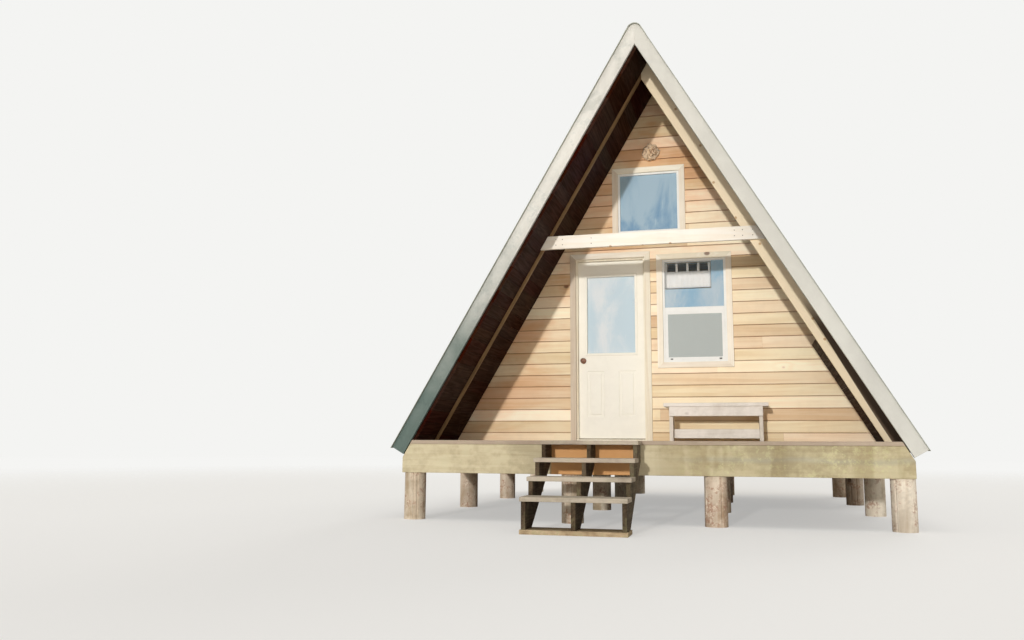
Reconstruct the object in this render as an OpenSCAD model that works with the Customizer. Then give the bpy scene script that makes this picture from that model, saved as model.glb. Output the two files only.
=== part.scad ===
/* [Roof] */
// Angle of the roof slopes from level
roof_pitch = 59.8; // [50:0.1:62]
// Height of the gable's outer point above the deck
apex_h = 4260; // [4120:10:5200]
// Length of the roof from front trim to back trim
roof_len = 6100; // [4800:50:9000]
// Height of the roof's lower outer corner below the deck
eave_drop = 70; // [0:5:120]
// Thickness of the roof boards
roof_board_t = 38; // [18:1:45]
// Thickness of the battens under the metal
batten_t = 22; // [18:1:30]
// Width of one batten
batten_w = 89; // [60:1:120]
// Number of battens on each slope
batten_n = 8; // [5:1:10]
// Thickness of the metal sheet as modelled
metal_t = 3; // [2:0.5:6]
// Spacing of the sheet's ribs
rib_pitch = 229; // [150:1:300]
// Height of one rib
rib_h = 20; // [10:1:30]
// Width of one rib at its foot
rib_w = 56; // [40:1:80]
// Overhang of the metal past the trim at each gable
metal_lip = 25; // [0:1:50]
// Width of the trim board along each gable slope
trim_w = 140; // [100:1:180]
// Thickness of common framing lumber
lumber_t = 38; // [30:1:50]
// Overhang of the roof behind the back wall
back_overhang = 300; // [100:10:600]
// Radius that rounds off the roof's point
crown_r = 72; // [50:1:90]
// Lap of the ridge cap over the metal sheets
cap_lap = 110; // [80:5:200]

/* [Frame] */
// Depth of a rafter
rafter_h = 140; // [120:1:200]
// Distance of the front rafters behind the trim's face
front_rafter_y = 600; // [300:10:900]
// Number of bays between the wall rafters
rafter_bays = 7; // [5:1:10]
// Height of the porch collar beam's underside above the deck
collar_h = 2028; // [1900:1:2300]
// Distance of the collar beam's right end from the roof boards
collar_gap = 10; // [0:5:50]
// Thickness of the porch ceiling's boards
ceiling_t = 38; // [18:1:45]
// Height of the low ceiling boards on the porch's right side
low_ceiling_h = 1030; // [600:10:1600]
// Depth of the ridge board
ridge_h = 184; // [140:1:235]
// Height of the loft joists' underside above the floor
loft_h = 2120; // [2090:5:2200]
// Thickness of the loft boards
loft_board_t = 19; // [12:1:30]

/* [Platform] */
// Height of the deck's top above the ground
deck_h = 790; // [500:5:1200]
// Thickness of the deck boards
deck_t = 38; // [25:1:50]
// Depth of the rim beams
rim_h = 286; // [240:1:300]
// Height of the roof's cut at the rim beam's top corners
rim_cut = 132; // [100:1:200]
// Overhang of the deck boards past the rim
deck_nose = 8; // [0:1:30]
// Depth of the floor joists
joist_h = 235; // [180:1:280]
// Number of joists in each bay
joist_n = 9; // [5:1:11]
// Diameter of a log pier
pier_d = 222; // [180:1:280]
// Distance of the outer piers' axes from the rim beam's ends
pier_inset = 95; // [70:5:250]
// Distance of the inner piers from the centre line
pier_inner_x = 680; // [500:5:1200]

/* [Front wall] */
// Distance from the trim's face to the siding's face
porch_depth = 1400; // [1000:10:2000]
// Thickness of a framed wall without siding
wall_t = 101; // [90:1:160]
// Thickness of the siding with its laps
siding_t = 18; // [12:1:25]
// Width of the cedar casings
casing_w = 64; // [50:1:90]
// Thickness of the cedar casings
casing_t = 26; // [20:1:35]
// Clearance between siding and casing
siding_gap = 2; // [1:0.5:5]
// Width of the wooden burl over the gable window
burl_w = 230; // [120:5:300]
// Distance that the burl stands out from the siding
burl_depth = 95; // [60:5:150]
// Height of the burl's centre above the deck
burl_h = 3297; // [3280:1:3350]
// Centre of the burl from the centre line
burl_x = 6; // [-100:1:100]

/* [Door] */
// Width of the door
door_w = 762; // [700:1:914]
// Height of the door
door_h = 2032; // [1950:1:2083]
// Thickness of the door
door_t = 44; // [35:1:50]
// Centre of the door from the cabin's centre line
door_x = -479; // [-560:1:-440]
// Gap round the door
door_gap = 7; // [6:0.5:10]
// Height of the door's lower edge above the deck
door_lift = 30; // [25:1:40]
// Thickness of the door's jambs
jamb_t = 19; // [15:1:30]
// Width of the door's window
lite_w = 545; // [450:1:580]
// Height of the door's window
lite_h = 880; // [700:1:920]
// Height of the door window's lower edge above the door's
lite_z = 965; // [900:1:1000]
// Height of the knob above the door's lower edge
knob_z = 880; // [800:1:900]
// Distance of the knob from the door's edge
knob_inset = 60; // [55:1:75]

/* [Windows] */
// Width of a window's opening
window_w = 695; // [600:1:760]
// Height of the lower window's opening
window_h = 1160; // [900:1:1180]
// Height of the lower window's sill above the deck
window_z = 872; // [800:1:900]
// Centre of the front window from the centre line
window_x = 462; // [440:1:600]
// Height of the gable window's opening
gable_window_h = 700; // [500:1:720]
// Height of the gable window's sill above the deck
gable_window_z = 2366; // [2350:1:2480]
// Centre of the gable window from the centre line
gable_window_x = -27; // [-100:1:100]
// Width of the white frame's outer bars
frame_bar = 36; // [25:1:50]
// Depth of the white frame
frame_d = 84; // [60:1:95]
// Width of a sash bar
sash_bar = 40; // [30:1:55]
// Thickness of one sash
sash_t = 30; // [20:1:35]
// Thickness of the glass
glass_t = 6; // [4:1:20]

/* [Bench] */
// Length of the bench's seat
bench_len = 1073; // [800:1:1300]
// Height of the bench's seat above the deck
bench_h = 402; // [350:1:480]
// Depth of the bench's seat
bench_d = 286; // [230:1:350]
// Left end of the bench from the centre line
bench_x = 134; // [60:1:300]
// Distance of the bench's back from the siding
bench_gap = 114; // [50:1:200]

/* [Stair] */
// Width of the stair
stair_w = 922; // [700:1:1200]
// Centre of the stair from the centre line
stair_x = -450; // [-700:1:-200]
// Going from tread to tread
stair_going = 268; // [230:1:300]
// Depth of one tread
tread_d = 286; // [240:1:300]
// Thickness of one tread
tread_t = 38; // [30:1:50]
// Number of treads, the top one level with the deck
tread_n = 4; // [3:1:5]
// Height of the lowest tread's top above the ground
first_rise = 310; // [280:1:340]

/* [Hidden] */

// Places along the cabin, from the bounding box's middle
stair_len = tread_d + (tread_n - 1) * stair_going + deck_nose;
front_y = (stair_len - roof_len - metal_lip) / 2;
back_y = front_y + roof_len;
siding_y = front_y + porch_depth;
wall_y = siding_y + siding_t;
wall_in = wall_y + wall_t;
back_siding_y = back_y - back_overhang;
back_wall_y = back_siding_y - siding_t;
back_wall_in = back_wall_y - wall_t;
platform_back = back_siding_y - siding_t;

// Heights
apex_z = deck_h + apex_h;
rim_top = deck_h - deck_t;
rim_z = rim_top - rim_h;
split_z = deck_h + door_lift + door_h + door_gap + jamb_t;

// Clearance between pieces that meet along the slope
slope_fit = 0.05;

// Depths below the roof's outer line, square to the slope
boards_off = batten_t + slope_fit;
boards_in = boards_off + roof_board_t;
rafter_off = boards_in + slope_fit;
rafter_in = rafter_off + rafter_h;
wall_off = rafter_in + slope_fit;
ceiling_lap = 6;
ceiling_off = trim_w - ceiling_lap;
ceiling_in = ceiling_off + ceiling_t;
platform_off = trim_w + 10;
rim_half = half_at(rim_top - rim_cut, platform_off);
pier_outer_x = rim_half - pier_inset;
slope_len = (apex_h + eave_drop) / sin(roof_pitch);
rafter_tail = slope_len - 20;
sheet_drip = 12;

// Half width under the roof at height z, off below its outer line
function half_at(z, off) = (apex_z - z) / tan(roof_pitch) - off / sin(roof_pitch);
// Height of the line off below the roof's outer line, x from the centre
function roof_z(x, off) = apex_z - x * tan(roof_pitch) - off / cos(roof_pitch);
// Point s along the slope and off below it
function slope_pt(s, off) = [s * cos(roof_pitch) - off * sin(roof_pitch),
    apex_z - s * sin(roof_pitch) - off * cos(roof_pitch)];
// Point at a depth below the right slope's outer line and another below the left one's
function between(right, left) = [(left - right) / (2 * sin(roof_pitch)),
    apex_z - (left + right) / (2 * cos(roof_pitch))];

// Rounding of the ridge: the height of its centre, and how far down the slope it ends
crown_z = apex_z - crown_r / cos(roof_pitch);
crown_s = crown_r * tan(roof_pitch);
// Points of the rounding, off below the outer line, from angle t0 off plumb to the right slope
function crown_arc(off, t0, n) = [for (i = [0 : n]) let (t = t0 + (roof_pitch - t0) * i / n)
    [(crown_r - off) * sin(t), crown_z + (crown_r - off) * cos(t)]];
function mirrored(p) = [-p[0], p[1]];
function reversed(list) = [for (i = [len(list) - 1 : -1 : 0]) list[i]];

// Upright profile in X and Z, stretched along Y
module along_y(y, len) {
    translate([0, y + len, 0]) rotate([90, 0, 0]) linear_extrude(len) children();
}

// Upright profile in Y and Z, stretched along X
module along_x(x, len) {
    translate([x, 0, 0]) rotate([90, 0, 90]) linear_extrude(len) children();
}

module box(x, y, z, dx, dy, dz) {
    translate([x, y, z]) cube([dx, dy, dz]);
}

module mirror_if(flag) {
    if (flag) mirror([1, 0, 0]) children();
    else children();
}

// Area under the roof, off below its outer line, between two heights
module under_roof(z0, z1, off) {
    polygon([[-half_at(z0, off), z0], [half_at(z0, off), z0],
        [max(half_at(z1, off), 0), min(z1, roof_z(0, off))],
        [-max(half_at(z1, off), 0), min(z1, roof_z(0, off))]]);
}

// The same area up to the ridge
module gable_area(z0, off) {
    polygon([[-half_at(z0, off), z0], [half_at(z0, off), z0], [0, roof_z(0, off)]]);
}

// Rectangle about a centre line, bottom at z
module rect(x, z, w, h) {
    translate([x - w / 2, z]) square([w, h]);
}

module ring(x, z, w, h, bar) {
    difference() {
        rect(x, z, w, h);
        rect(x, z + bar, w - 2 * bar, h - 2 * bar);
    }
}

// Layer of the right slope between two depths, plumb at the ridge and level at its top
module slope_layer(off0, off1) {
    intersection() {
        polygon([[0, roof_z(0, off0)], slope_pt(slope_len, off0), slope_pt(slope_len, off1),
            [0, roof_z(0, off1)]]);
        square([slope_len, crown_z + crown_r - off0]);
    }
}

// Log piers under one cross line
module pier_row(y) {
    for (x = [-pier_outer_x, -pier_inner_x, pier_inner_x, pier_outer_x])
        translate([x, y, 0]) cylinder(h = rim_z, d = pier_d, $fn = 48);
}

pier_front_y = front_y + pier_d / 2 + 20;
pier_back_y = platform_back - pier_d / 2 - 20;
bay_len = (pier_back_y - pier_front_y) / 3;
girder_y = [for (i = [1, 2]) pier_front_y + i * bay_len];
girder_t = 2 * lumber_t;

module log_piers_front() {
    color("burlywood") pier_row(pier_front_y);
}

module log_piers_inner() {
    color("burlywood") for (y = girder_y) pier_row(y);
}

module log_piers_back() {
    color("burlywood") pier_row(pier_back_y);
}

// Outline of a rim beam, its top corners cut to the roof
module rim_outline() {
    corner_z = roof_z(rim_half, platform_off);
    polygon([[-rim_half, rim_z], [rim_half, rim_z], [rim_half, corner_z],
        [half_at(rim_top, platform_off), rim_top], [-half_at(rim_top, platform_off), rim_top],
        [-rim_half, corner_z]]);
}

module front_rim() {
    color("darkseagreen") along_y(front_y, lumber_t) rim_outline();
}

module back_rim() {
    color("tan") along_y(platform_back - lumber_t, lumber_t) rim_outline();
}

module side_rims() {
    inner_x = rim_half - lumber_t;
    color("tan") for (flip = [false, true]) mirror_if(flip)
        along_y(front_y + lumber_t, platform_back - front_y - 2 * lumber_t)
            polygon([[inner_x, rim_z], [rim_half, rim_z], [rim_half, roof_z(rim_half, platform_off)],
                [inner_x, roof_z(inner_x, platform_off)]]);
}

module cross_girders() {
    inner_x = rim_half - lumber_t;
    color("tan") for (y = girder_y) along_y(y - girder_t / 2, girder_t) intersection() {
        rim_outline();
        rect(0, rim_z, 2 * inner_x, rim_h);
    }
}

joist_edges = [front_y + lumber_t, girder_y[0], girder_y[1], platform_back - lumber_t];

module floor_joists() {
    span = half_at(rim_top, platform_off) - 60;
    color("tan") for (bay = [0 : 2]) for (i = [0 : joist_n - 1]) {
        y0 = joist_edges[bay] + (bay > 0 ? girder_t / 2 : 0);
        y1 = joist_edges[bay + 1] - (bay < 2 ? girder_t / 2 : 0);
        x = -span + i * 2 * span / (joist_n - 1);
        box(x - lumber_t / 2, y0, rim_top - joist_h, lumber_t, y1 - y0, joist_h);
    }
}

module floor_slab(y0, y1) {
    along_y(y0, y1 - y0) under_roof(rim_top, deck_h, platform_off);
}

module porch_deck() {
    color("silver") floor_slab(front_y - deck_nose, wall_y);
}

module cabin_floor() {
    color("peru") floor_slab(wall_y, back_wall_y);
}

jamb_in_l = door_x - door_w / 2 - door_gap;
jamb_in_r = door_x + door_w / 2 + door_gap;
doorway_l = jamb_in_l - jamb_t;
doorway_r = jamb_in_r + jamb_t;

module window_hole() {
    rect(window_x, deck_h + window_z, window_w, window_h);
}

module gable_window_hole() {
    rect(gable_window_x, deck_h + gable_window_z, window_w, gable_window_h);
}

module back_window_hole() {
    rect(0, deck_h + window_z, window_w, window_h);
}

module back_gable_hole() {
    rect(0, deck_h + gable_window_z, window_w, gable_window_h);
}

module front_wall_left() {
    color("wheat") along_y(wall_y, wall_t) intersection() {
        under_roof(deck_h, split_z, wall_off);
        translate([-rim_half, deck_h]) square([rim_half + doorway_l, split_z - deck_h]);
    }
}

module front_wall_right() {
    color("wheat") along_y(wall_y, wall_t) difference() {
        intersection() {
            under_roof(deck_h, split_z, wall_off);
            translate([doorway_r, deck_h]) square([rim_half - doorway_r, split_z - deck_h]);
        }
        window_hole();
    }
}

module front_wall_gable() {
    color("wheat") along_y(wall_y, wall_t) difference() {
        gable_area(split_z, wall_off);
        gable_window_hole();
    }
}

module back_wall() {
    color("wheat") along_y(back_wall_in, wall_t) difference() {
        gable_area(deck_h, wall_off);
        back_window_hole();
        back_gable_hole();
    }
}

// Outline of a casing with its clearance, round an opening
module cased(x, z, w, h) {
    rect(x, z - casing_w - siding_gap, w + 2 * (casing_w + siding_gap), h + 2 * (casing_w + siding_gap));
}

door_open_w = door_w + 2 * door_gap;
door_open_h = door_lift + door_h + door_gap;
casing_reveal = 6;

module front_siding() {
    color("peru") along_y(siding_y, siding_t) difference() {
        gable_area(deck_h, rafter_off);
        cased(window_x, deck_h + window_z, window_w, window_h);
        cased(gable_window_x, deck_h + gable_window_z, window_w, gable_window_h);
        rect(door_x, deck_h, door_open_w + 2 * (casing_reveal + casing_w + siding_gap),
            door_open_h + casing_reveal + casing_w + siding_gap);
    }
}

module back_siding() {
    color("peru") along_y(back_wall_y, siding_t) difference() {
        union() {
            gable_area(deck_h, rafter_off);
            rim_outline();
            under_roof(rim_top, deck_h, platform_off);
        }
        rect(0, ridge_top - ridge_h, lumber_t, 2 * ridge_h);
        cased(0, deck_h + window_z, window_w, window_h);
        cased(0, deck_h + gable_window_z, window_w, gable_window_h);
    }
}

// One rafter of the right slope, seated on the platform, its top end ridge_x from the centre
module rafter(y, ridge_x) {
    seat_off = platform_off - slope_fit;
    along_y(y, lumber_t) polygon([[ridge_x, roof_z(ridge_x, rafter_off)], slope_pt(rafter_tail, rafter_off),
        slope_pt(rafter_tail, seat_off), [half_at(deck_h, seat_off), deck_h],
        [half_at(deck_h, rafter_in), deck_h], [ridge_x, roof_z(ridge_x, rafter_in)]]);
}

rafter_first = wall_y;
rafter_last = back_wall_y - lumber_t;
rafter_front = front_y + front_rafter_y;
wall_rafters = [for (i = [0 : rafter_bays]) rafter_first + i * (rafter_last - rafter_first) / rafter_bays];

// The porch pair meets at its top ends, and the others meet on the ridge board
module rafter_row() {
    color("burlywood") {
        rafter(rafter_front, 0);
        for (y = wall_rafters) rafter(y, lumber_t / 2);
    }
}

module rafters_left() {
    mirror([1, 0, 0]) rafter_row();
}

module rafters_right() {
    rafter_row();
}

ridge_top = roof_z(lumber_t / 2, rafter_off);

module ridge_board() {
    color("burlywood") box(-lumber_t / 2, wall_y, ridge_top - ridge_h, lumber_t, back_y - lumber_t - wall_y,
        ridge_h);
}

module collar_beam() {
    z = deck_h + collar_h;
    end_off = ceiling_in + slope_fit;
    low = half_at(z, rafter_off);
    high = half_at(z + rafter_h, rafter_off);
    color("burlywood") along_y(rafter_front - lumber_t, lumber_t)
        polygon([[-half_at(z, end_off), z], [low - collar_gap, z],
            [high - collar_gap, z + rafter_h], [-half_at(z + rafter_h, end_off), z + rafter_h]]);
}

// Ceiling boards of the porch's left slope, from the deck past the ridge to the other slope's boards
module porch_ceiling(y0, y1) {
    along_y(y0, y1 - y0) polygon([between(ceiling_off, rafter_off), [half_at(deck_h, ceiling_off), deck_h],
        [half_at(deck_h, ceiling_in), deck_h], between(ceiling_in, rafter_off)]);
}

module porch_ceiling_left() {
    color("sienna") mirror([1, 0, 0]) {
        porch_ceiling(front_y + lumber_t, rafter_front);
        porch_ceiling(rafter_front + lumber_t, siding_y);
    }
}

// Low boards of the right slope, between the porch rafter and the wall
module porch_ceiling_right() {
    top_z = deck_h + low_ceiling_h;
    color("sienna") along_y(rafter_front + lumber_t, siding_y - rafter_front - lumber_t)
        polygon([[half_at(deck_h, ceiling_off), deck_h], [half_at(deck_h, ceiling_in), deck_h],
            [half_at(top_z, ceiling_in), top_z], [half_at(top_z, ceiling_off), top_z]]);
}

loft_z = deck_h + loft_h;

module loft_joists() {
    color("burlywood") for (i = [1 : rafter_bays - 1]) along_y(wall_rafters[i] + lumber_t, lumber_t)
        under_roof(loft_z, loft_z + rafter_h, rafter_off + 5);
}

// Hatch in the loft floor: its width, its place from the roof's inside, its edge from the joists
hatch_w = 700;
hatch_x = 250;
hatch_edge = 10;
hatch_y = wall_rafters[rafter_bays - 2] + 2 * lumber_t + hatch_edge;
hatch_l = (rafter_last - rafter_first) / rafter_bays - lumber_t - 2 * hatch_edge;

module loft_floor() {
    z = loft_z + rafter_h;
    color("tan") difference() {
        along_y(wall_in, back_wall_in - wall_in) under_roof(z, z + loft_board_t, wall_off);
        box(-half_at(z, wall_off) + hatch_x, hatch_y, z - 1, hatch_w, hatch_l, loft_board_t + 2);
    }
}

module roof_boards(flip) {
    color("sienna") mirror_if(flip) along_y(front_y + lumber_t, roof_len - 2 * lumber_t)
        slope_layer(boards_off, boards_in);
}

module roof_boards_left() {
    roof_boards(true);
}

module roof_boards_right() {
    roof_boards(false);
}

batten_first = crown_s + 10;
batten_step = (slope_len - batten_w - batten_first) / (batten_n - 1);

module roof_battens(flip) {
    color("tan") mirror_if(flip) along_y(front_y + lumber_t, roof_len - 2 * lumber_t)
        for (i = [0 : batten_n - 1]) let (s = batten_first + i * batten_step)
            polygon([slope_pt(s, 0), slope_pt(s + batten_w, 0), slope_pt(s + batten_w, batten_t),
                slope_pt(s, batten_t)]);
}

module roof_battens_left() {
    roof_battens(true);
}

module roof_battens_right() {
    roof_battens(false);
}

// One rib of the sheet as points along Y and outward, at height lift
function rib_points(y, lift) = [[y - rib_w / 2, lift], [y - rib_w / 4, lift + rib_h],
    [y + rib_w / 4, lift + rib_h], [y + rib_w / 2, lift]];

sheet_y0 = front_y - metal_lip;
sheet_len = roof_len + 2 * metal_lip;
rib_n = floor((sheet_len - rib_w) / rib_pitch);
rib_margin = (sheet_len - (rib_n - 1) * rib_pitch) / 2;
sheet_start = crown_s;
rib_list = [for (i = [0 : rib_n - 1]) sheet_y0 + rib_margin + i * rib_pitch];

module metal_sheet() {
    top = [for (y = rib_list) each rib_points(y, metal_t)];
    under = [for (y = reversed(rib_list)) each reversed(rib_points(y, 0))];
    translate([0, 0, apex_z]) rotate([0, 90 + roof_pitch, 0]) rotate([0, 0, 90])
        translate([0, slope_fit, sheet_start]) linear_extrude(slope_len + sheet_drip - sheet_start)
            polygon(concat([[sheet_y0, 0], [sheet_y0, metal_t]], top,
                [[sheet_y0 + sheet_len, metal_t], [sheet_y0 + sheet_len, 0]], under));
}

module metal_roof_left() {
    color("gray") mirror([1, 0, 0]) metal_sheet();
}

module metal_roof_right() {
    color("gray") metal_sheet();
}

// Lowest points of the ridge cap on the slopes
cap_wing = crown_s + cap_lap;
cap_low = metal_t + 2 * slope_fit;
cap_high = metal_t + rib_h + 2 * slope_fit;
cap_nose = rib_margin - rib_w / 2 - 10;
cap_ends = [sheet_y0 + cap_nose, sheet_y0 + sheet_len - cap_nose];

// Profile of the cap between two heights over the roof's outer line
module cap_profile(low, high) {
    half = concat(crown_arc(-high, 0, 8), [slope_pt(cap_wing, -high), slope_pt(cap_wing, -low)],
        reversed(crown_arc(-low, 0, 8)));
    polygon(half);
    polygon([for (p = half) mirrored(p)]);
}

// The cap rides on the ribs, and steps down to the flat sheet at each gable
module ridge_cap() {
    color("gray") {
        along_y(cap_ends[0], cap_ends[1] - cap_ends[0]) cap_profile(cap_high, cap_high + metal_t);
        for (y = [sheet_y0, cap_ends[1] - metal_t])
            along_y(y, cap_nose + metal_t) cap_profile(cap_low, cap_low + metal_t);
        for (y = [cap_ends[0], cap_ends[1] - metal_t])
            along_y(y, metal_t) cap_profile(cap_low, cap_high + metal_t);
    }
}

module trim_board(y, flip) {
    color("darkseagreen") mirror_if(flip) along_y(y, lumber_t)
        polygon(concat(crown_arc(0, 0, 12), [slope_pt(slope_len, 0), slope_pt(slope_len, trim_w),
            [0, roof_z(0, trim_w)]]));
}

module front_trim_left() {
    trim_board(front_y, true);
}

module front_trim_right() {
    trim_board(front_y, false);
}

module back_trim_left() {
    trim_board(back_y - lumber_t, true);
}

module back_trim_right() {
    trim_board(back_y - lumber_t, false);
}

// Door, closed, its inner face near the wall's inner face
door_y = wall_in - 2 - door_t;
door_z = deck_h + door_lift;
door_l = door_x - door_w / 2;
door_r = door_x + door_w / 2;
panel_w = 190;
panel_h = 515;
panel_z = 243;
panel_gap = 172;
panel_cut = 7;
panel_rim = 30;
lite_frame = 28;

module panel_cutter(x, y) {
    difference() {
        translate([x - panel_w / 2, y, door_z + panel_z]) cube([panel_w, panel_cut, panel_h]);
        translate([x - panel_w / 2 + panel_rim, y - 1, door_z + panel_z + panel_rim])
            cube([panel_w - 2 * panel_rim, panel_cut + 2, panel_h - 2 * panel_rim]);
    }
}

module door_slab() {
    lite_bead = 8;
    color("wheat") difference() {
        union() {
            box(door_l, door_y, door_z, door_w, door_t, door_h);
            along_y(door_y - lite_bead, door_t + 2 * lite_bead) rect(door_x, door_z + lite_z - lite_frame,
                lite_w + 2 * lite_frame, lite_h + 2 * lite_frame);
        }
        along_y(door_y - 20, door_t + 40) rect(door_x, door_z + lite_z, lite_w, lite_h);
        for (side = [-1, 1]) for (y = [door_y, door_y + door_t - panel_cut])
            panel_cutter(door_x + side * (panel_w + panel_gap) / 2, y);
    }
}

module door_glass() {
    color("lightblue") along_y(door_y + door_t / 2 - glass_t / 2, glass_t)
        rect(door_x, door_z + lite_z, lite_w, lite_h);
}

knob_x = door_l + knob_inset;

// Rose, neck and ball of the knob, turned about an axis along Y
module knob_half() {
    rotate([90, 0, 0]) rotate_extrude($fn = 64)
        polygon([[0, 0], [33, 0], [33, 4], [28, 8], [12, 10], [11, 26], [18, 32], [26, 40], [28, 48],
            [25, 56], [16, 61], [0, 62]]);
}

module door_knob() {
    color("saddlebrown") translate([knob_x, door_y, door_z + knob_z]) {
        knob_half();
        translate([0, door_t, 0]) mirror([0, 1, 0]) knob_half();
    }
}

hinge_x = door_r + door_gap / 2;
hinge_y = wall_in + 6;
hinge_r = 5;
hinge_half = 50;
leaf_t = 2;
leaf_w = 30;
hinge_zs = [door_z + 200, door_z + door_h / 2, door_z + door_h - 200];

module door_hinge_leaves() {
    color("silver") for (z = hinge_zs) {
        translate([hinge_x, hinge_y, z + 0.3]) cylinder(h = hinge_half, r = hinge_r, $fn = 24);
        box(door_r, door_y + door_t - leaf_w, z + 0.3, leaf_t, leaf_w + 8, hinge_half);
    }
}

module frame_hinge_leaves() {
    color("silver") for (z = hinge_zs) {
        translate([hinge_x, hinge_y, z - hinge_half]) cylinder(h = hinge_half, r = hinge_r, $fn = 24);
        box(jamb_in_r - leaf_t, wall_in - leaf_w, z - hinge_half, leaf_t, leaf_w + 6, hinge_half);
    }
}

stop_w = 12;
stop_y = door_y - 5;
sill_t = door_lift - 8;

module door_frame() {
    color("peru") {
        along_y(wall_y, wall_t) difference() {
            translate([doorway_l, deck_h]) square([doorway_r - doorway_l, split_z - deck_h]);
            rect(door_x, deck_h, door_open_w, door_open_h);
        }
        along_y(wall_y + 12, stop_y - wall_y - 12) difference() {
            rect(door_x, deck_h, door_open_w, door_open_h);
            rect(door_x, deck_h, door_open_w - 2 * stop_w, door_open_h - stop_w);
        }
        box(jamb_in_l, wall_y, deck_h, door_open_w, wall_t, sill_t);
    }
}

module casing_ring(x, z, w, h) {
    difference() {
        rect(x, z - casing_w, w + 2 * casing_w, h + 2 * casing_w);
        rect(x, z, w, h);
    }
}

module door_casing_outline() {
    in_w = door_open_w + 2 * casing_reveal;
    in_h = door_open_h + casing_reveal;
    difference() {
        rect(door_x, deck_h, in_w + 2 * casing_w, in_h + casing_w);
        rect(door_x, deck_h, in_w, in_h);
    }
}

module front_casings() {
    color("sandybrown") along_y(wall_y - casing_t, casing_t) {
        door_casing_outline();
        casing_ring(window_x, deck_h + window_z, window_w, window_h);
        casing_ring(gable_window_x, deck_h + gable_window_z, window_w, gable_window_h);
    }
}

module back_casings() {
    color("sandybrown") along_y(back_wall_y, casing_t) {
        casing_ring(0, deck_h + window_z, window_w, window_h);
        casing_ring(0, deck_h + gable_window_z, window_w, gable_window_h);
    }
}

// Distance of the sashes and panes behind the frame's face
sash_y = 12;
pane_y = sash_y + (sash_t - glass_t) / 2;

// Sliding window seen from outside, its outer face towards -Y at y = 0
module hung_frame(x, z, w, h) {
    in_w = w - 2 * frame_bar;
    in_h = h - 2 * frame_bar;
    mid = z + frame_bar + in_h / 2;
    rail = sash_bar / 2;
    along_y(0, frame_d) ring(x, z, w, h, frame_bar);
    along_y(sash_y, sash_t) ring(x, mid - rail, in_w, z + h - frame_bar - mid + rail, sash_bar);
    along_y(sash_y + sash_t, sash_t) ring(x, z + frame_bar, in_w, mid + rail - z - frame_bar, sash_bar);
}

module fixed_frame(x, z, w, h) {
    along_y(0, frame_d) ring(x, z, w, h, frame_bar);
}

module hung_glass(x, z, w, h) {
    in_w = w - 2 * frame_bar - 2 * sash_bar;
    in_h = h - 2 * frame_bar;
    mid = z + frame_bar + in_h / 2;
    rail = sash_bar / 2;
    along_y(pane_y, glass_t) rect(x, mid + rail, in_w, z + h - frame_bar - sash_bar - mid - rail);
    along_y(pane_y + sash_t, glass_t) rect(x, z + frame_bar + sash_bar, in_w,
        mid - rail - z - frame_bar - sash_bar);
}

module fixed_glass(x, z, w, h) {
    along_y(pane_y, glass_t) rect(x, z + frame_bar, w - 2 * frame_bar, h - 2 * frame_bar);
}

frame_y = wall_y - 4;

module front_window_frames() {
    color("white") translate([0, frame_y, 0]) {
        hung_frame(window_x, deck_h + window_z, window_w, window_h);
        fixed_frame(gable_window_x, deck_h + gable_window_z, window_w, gable_window_h);
    }
}

module front_window_glass() {
    color("lightblue") translate([0, frame_y, 0]) {
        hung_glass(window_x, deck_h + window_z, window_w, window_h);
        fixed_glass(gable_window_x, deck_h + gable_window_z, window_w, gable_window_h);
    }
}

module window_screen() {
    in_w = window_w - 2 * frame_bar;
    in_h = window_h / 2 - frame_bar - sash_bar / 2;
    color("dimgray") translate([0, frame_y + 4, 0]) along_y(0, 8)
        rect(window_x, deck_h + window_z + frame_bar, in_w, in_h);
}

module turned_back() {
    translate([0, back_wall_y + 4, 0]) mirror([0, 1, 0]) children();
}

module back_window_frames() {
    color("white") turned_back() {
        hung_frame(0, deck_h + window_z, window_w, window_h);
        fixed_frame(0, deck_h + gable_window_z, window_w, gable_window_h);
    }
}

module back_window_glass() {
    color("lightblue") turned_back() {
        hung_glass(0, deck_h + window_z, window_w, window_h);
        fixed_glass(0, deck_h + gable_window_z, window_w, gable_window_h);
    }
}

// Gnarled half round of wood, its flat back on the siding
burl_n = 36;
burl_rings = 9;

// Radius at angle a round the burl and t up from its rim, with its lobes and hollows
function burl_r(a, t) = burl_w / 2.2 * (1 + cos(t) * (0.08 * sin(3 * a + 25) + 0.06 * sin(5 * a - 2 * t)
    + 0.04 * sin(8 * a + 5 * t)));

function burl_point(a, t) = let (r = burl_r(a, t))
    [burl_x + r * cos(t) * cos(a), siding_y - burl_depth * r * sin(t) * 2.2 / burl_w,
    deck_h + burl_h + r * cos(t) * sin(a)];

module burl_knob() {
    last = (burl_rings - 1) * burl_n;
    points = concat([for (i = [0 : burl_rings - 1]) for (j = [0 : burl_n - 1])
        burl_point(360 * j / burl_n, 90 * i / burl_rings)], [burl_point(0, 90)]);
    sides = [for (i = [0 : burl_rings - 2]) for (j = [0 : burl_n - 1])
        let (a = i * burl_n + j, b = i * burl_n + (j + 1) % burl_n) each
        [[a, a + burl_n, b + burl_n], [a, b + burl_n, b]]];
    crown = [for (j = [0 : burl_n - 1]) [last + j, burl_rings * burl_n, last + (j + 1) % burl_n]];
    color("saddlebrown") polyhedron(points, concat([[for (j = [0 : burl_n - 1]) j]], sides, crown));
}

bench_front = siding_y - bench_gap - bench_d;
bench_t = 38;
bench_leg_inset = 58;
bench_leg_t = 38;
apron_h = 100;
rail_z = 34;
rail_h = 96;

module bench_seat() {
    color("silver") box(bench_x, bench_front, deck_h + bench_h - bench_t, bench_len, bench_d, bench_t);
}

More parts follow.
